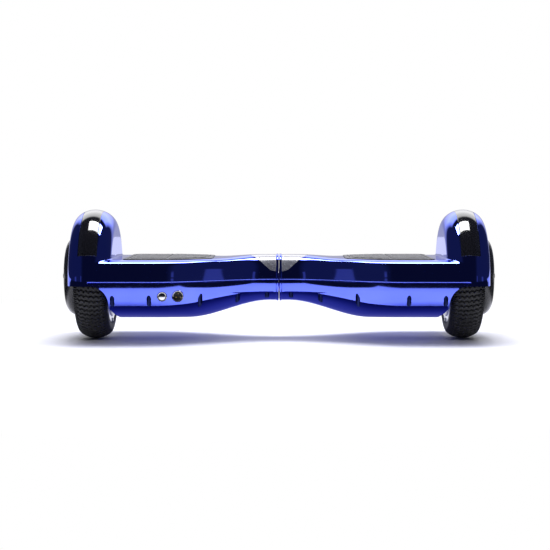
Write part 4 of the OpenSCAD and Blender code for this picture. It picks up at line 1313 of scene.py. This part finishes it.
def build_world():
    world = bpy.data.worlds.new("studio")
    bpy.context.scene.world = world
    world.use_nodes = True
    tree = world.node_tree
    background = tree.nodes["Background"]
    coords = node(tree, "ShaderNodeTexCoord")
    split = node(tree, "ShaderNodeSeparateXYZ")
    tree.links.new(coords.outputs["Generated"], split.inputs["Vector"])
    x, y, z = (split.outputs[axis] for axis in "XYZ")
    toward = math_node(tree, "MULTIPLY", y, -1.0)
    # The angle over the board from the front (0) through overhead to the back (1)
    height = math_node(tree, "ABSOLUTE", z)
    over = math_node(tree, "DIVIDE", math_node(tree, "ARCTAN2", height, toward), math.pi)
    across = math_node(tree, "ABSOLUTE", x)
    plane = math_node(tree, "SQRT", math_node(tree, "ADD", math_node(tree, "MULTIPLY", y, y),
                                              math_node(tree, "MULTIPLY", z, z)))
    spread = math_node(tree, "DIVIDE", across, plane)
    aside = math_node(tree, "DIVIDE", math_node(tree, "SUBTRACT", spread, 0.45), 0.25, clamp=True)
    bands = ramp(tree, over, [(0.0, FRONT), (0.70, FRONT), (0.73, BACK_HIGH),
                             (0.84, BACK_HIGH), (0.965, BACK_LOW), (1.0, BACK_LOW)])
    rooms = mix_colour(tree, aside, bands, SIDES_DARK)
    bearing = math_node(tree, "DIVIDE", across, math_node(tree, "MAXIMUM", toward, 0.001))
    low_front = window_mask(tree, over, -0.02, 0.045, 0.006)
    near = window_mask(tree, bearing, 0.60, 0.72, 0.04)
    far = window_mask(tree, bearing, 1.56, 2.4, 0.03)
    windows = math_node(tree, "MULTIPLY", low_front, math_node(tree, "MAXIMUM", near, far))
    lit = mix_colour(tree, windows, rooms, WINDOW)
    # Anything the camera sees past the floor is plain white.
    path = node(tree, "ShaderNodeLightPath")
    shown = mix_colour(tree, path.outputs["Is Camera Ray"], lit, (1.0, 1.0, 1.0))
    tree.links.new(shown, background.inputs["Color"])
    background.inputs["Strength"].default_value = 1.0


def area_light(name, place, target, size, watts, seen=False, colour=(1, 1, 1)):
    light = bpy.data.lights.new(name, "AREA")
    light.shape = "RECTANGLE"
    light.size, light.size_y = size
    light.energy = watts
    light.color = colour
    obj = bpy.data.objects.new(name, light)
    bpy.context.scene.collection.objects.link(obj)
    obj.location = place
    aim = Vector(target) - Vector(place)
    obj.rotation_euler = aim.to_track_quat("-Z", "Y").to_euler()
    obj.visible_glossy = seen


def build_floor():
    """A pale paper floor that fades to plain white away from the board. In the plating's reflections it
    carries painted reflections: plain white behind the board and painted dark in front of and beside it.
    """
    t = np.linspace(-1, 1, 41)
    x, y = np.meshgrid(t * 4000, t * 4000, indexing="ij")
    verts = np.stack([x.ravel(), y.ravel(), np.full(x.size, -0.3)], axis=1)
    floor = new_object("floor", verts, grid_faces(41, 41), smooth=False)
    mat, tree, shader = material("floor")
    coords = object_coords(tree)
    tone = noise(tree, coords, 2.0, 2)
    tree.links.new(ramp(tree, tone, [(0.3, (0.84, 0.84, 0.85)), (0.7, (0.87, 0.87, 0.87))]),
                   shader.inputs["Base Color"])
    shader.inputs["Roughness"].default_value = 0.55
    shader.inputs["Specular IOR Level"].default_value = 0.15
    white = node(tree, "ShaderNodeEmission", Strength=1.0)
    white.inputs["Color"].default_value = (1, 1, 1, 1)
    length = node(tree, "ShaderNodeVectorMath", operation="LENGTH")
    tree.links.new(coords, length.inputs[0])
    away = math_node(tree, "DIVIDE", math_node(tree, "SUBTRACT", length.outputs["Value"], 0.42),
                     0.35, clamp=True)
    path = node(tree, "ShaderNodeLightPath")
    split = node(tree, "ShaderNodeSeparateXYZ")
    tree.links.new(coords, split.inputs["Vector"])
    # In reflections only, the floor is painted: white behind the board, standing for paper running up a
    # bright back wall, and dark in front and to the sides, standing for the dark front of the room.
    behind = math_node(tree, "DIVIDE", math_node(tree, "SUBTRACT", split.outputs["Y"], 0.25), 0.3,
                       clamp=True)
    ahead = math_node(tree, "DIVIDE", math_node(tree, "SUBTRACT", -0.62, split.outputs["Y"]), 0.06,
                      clamp=True)
    beside = math_node(tree, "DIVIDE", math_node(
        tree, "SUBTRACT", math_node(tree, "ABSOLUTE", split.outputs["X"]), 0.36), 0.05, clamp=True)
    mirror_ray = path.outputs["Is Glossy Ray"]
    fade = math_node(tree, "MAXIMUM", math_node(tree, "MULTIPLY", away, path.outputs["Is Camera Ray"]),
                     math_node(tree, "MULTIPLY", behind, mirror_ray))
    # Painted dark reflection: an emission that the plating sees in the floor in front of and beside the
    # board
    dark = node(tree, "ShaderNodeEmission", Strength=1.0)
    dark.inputs["Color"].default_value = (*FRONT, 1)
    front = node(tree, "ShaderNodeMixShader")
    tree.links.new(math_node(
        tree, "MULTIPLY", math_node(tree, "MAXIMUM", ahead, beside), mirror_ray), front.inputs["Fac"])
    tree.links.new(shader.outputs["BSDF"], front.inputs[1])
    tree.links.new(dark.outputs["Emission"], front.inputs[2])
    mix = node(tree, "ShaderNodeMixShader")
    tree.links.new(fade, mix.inputs["Fac"])
    tree.links.new(front.outputs["Shader"], mix.inputs[1])
    tree.links.new(white.outputs["Emission"], mix.inputs[2])
    tree.links.new(mix.outputs["Shader"], tree.nodes["Material Output"].inputs["Surface"])
    floor.data.materials.append(mat)


def build_painted_shadow_card():
    """Painted shadow: a glowing dark sheet on the floor under the board, seen only in the plating's
    reflections, where it stands for the board's shadow; darkest at the front and lighter towards the back.
    """
    half_x, half_y = 225, 95
    steps = 24
    x, y = np.meshgrid(np.linspace(-half_x, half_x, steps), np.linspace(-half_y, half_y, steps),
                       indexing="ij")
    verts = np.stack([x.ravel(), y.ravel(), np.full(x.size, 0.4)], axis=1)
    painted_shadow_card = new_object("painted_shadow_card", verts, grid_faces(steps, steps), smooth=False)
    mat, tree, _ = material("painted_shadow_card")
    split = node(tree, "ShaderNodeSeparateXYZ")
    tree.links.new(object_coords(tree), split.inputs["Vector"])
    share = math_node(tree, "MULTIPLY_ADD", split.outputs["Y"], 5.0)
    share.node.inputs[2].default_value = 0.5
    glow = node(tree, "ShaderNodeEmission", Strength=1.0)
    # The painted shadow's colours, darkest at the front of the board and lighter towards the back
    tree.links.new(ramp(tree, share, [
        (0.02, (0.006, 0.008, 0.05)), (0.16, (0.03, 0.035, 0.14)), (0.33, (0.10, 0.10, 0.26)),
        (0.95, (0.25, 0.25, 0.45))]), glow.inputs["Color"])
    tree.links.new(glow.outputs["Emission"], tree.nodes["Material Output"].inputs["Surface"])
    painted_shadow_card.data.materials.append(mat)
    painted_shadow_card.visible_camera = False
    painted_shadow_card.visible_diffuse = False
    painted_shadow_card.visible_shadow = False
    painted_shadow_card.visible_transmission = False


def build_camera():
    camera = bpy.data.objects.new("camera", bpy.data.cameras.new("camera"))
    bpy.context.scene.collection.objects.link(camera)
    camera.data.sensor_width = 36
    camera.data.lens = 89.6
    camera.data.shift_x = -0.0073
    camera.location = (0, -1.85, 0.1998)
    camera.rotation_euler = (math.radians(90 - 3.55), 0, 0)
    bpy.context.scene.camera = camera


build_world()
build_floor()
# The sheet of painted shadow under the board, seen only in reflections
build_painted_shadow_card()
build_camera()
area_light("softbox", (0, 0.2, 1.3), (0, 0.2, 0), (0.9, 0.5), 17, seen=True)
area_light("top", (0, 0.1, 2.4), (0, 0.1, 0), (2.8, 2.2), 52, colour=(0.74, 0.76, 1.0))
area_light("front", (0, -1.8, 1.6), (0, 0, 0), (1.6, 1.0), 12)
bpy.context.scene.view_settings.view_transform = "Standard"
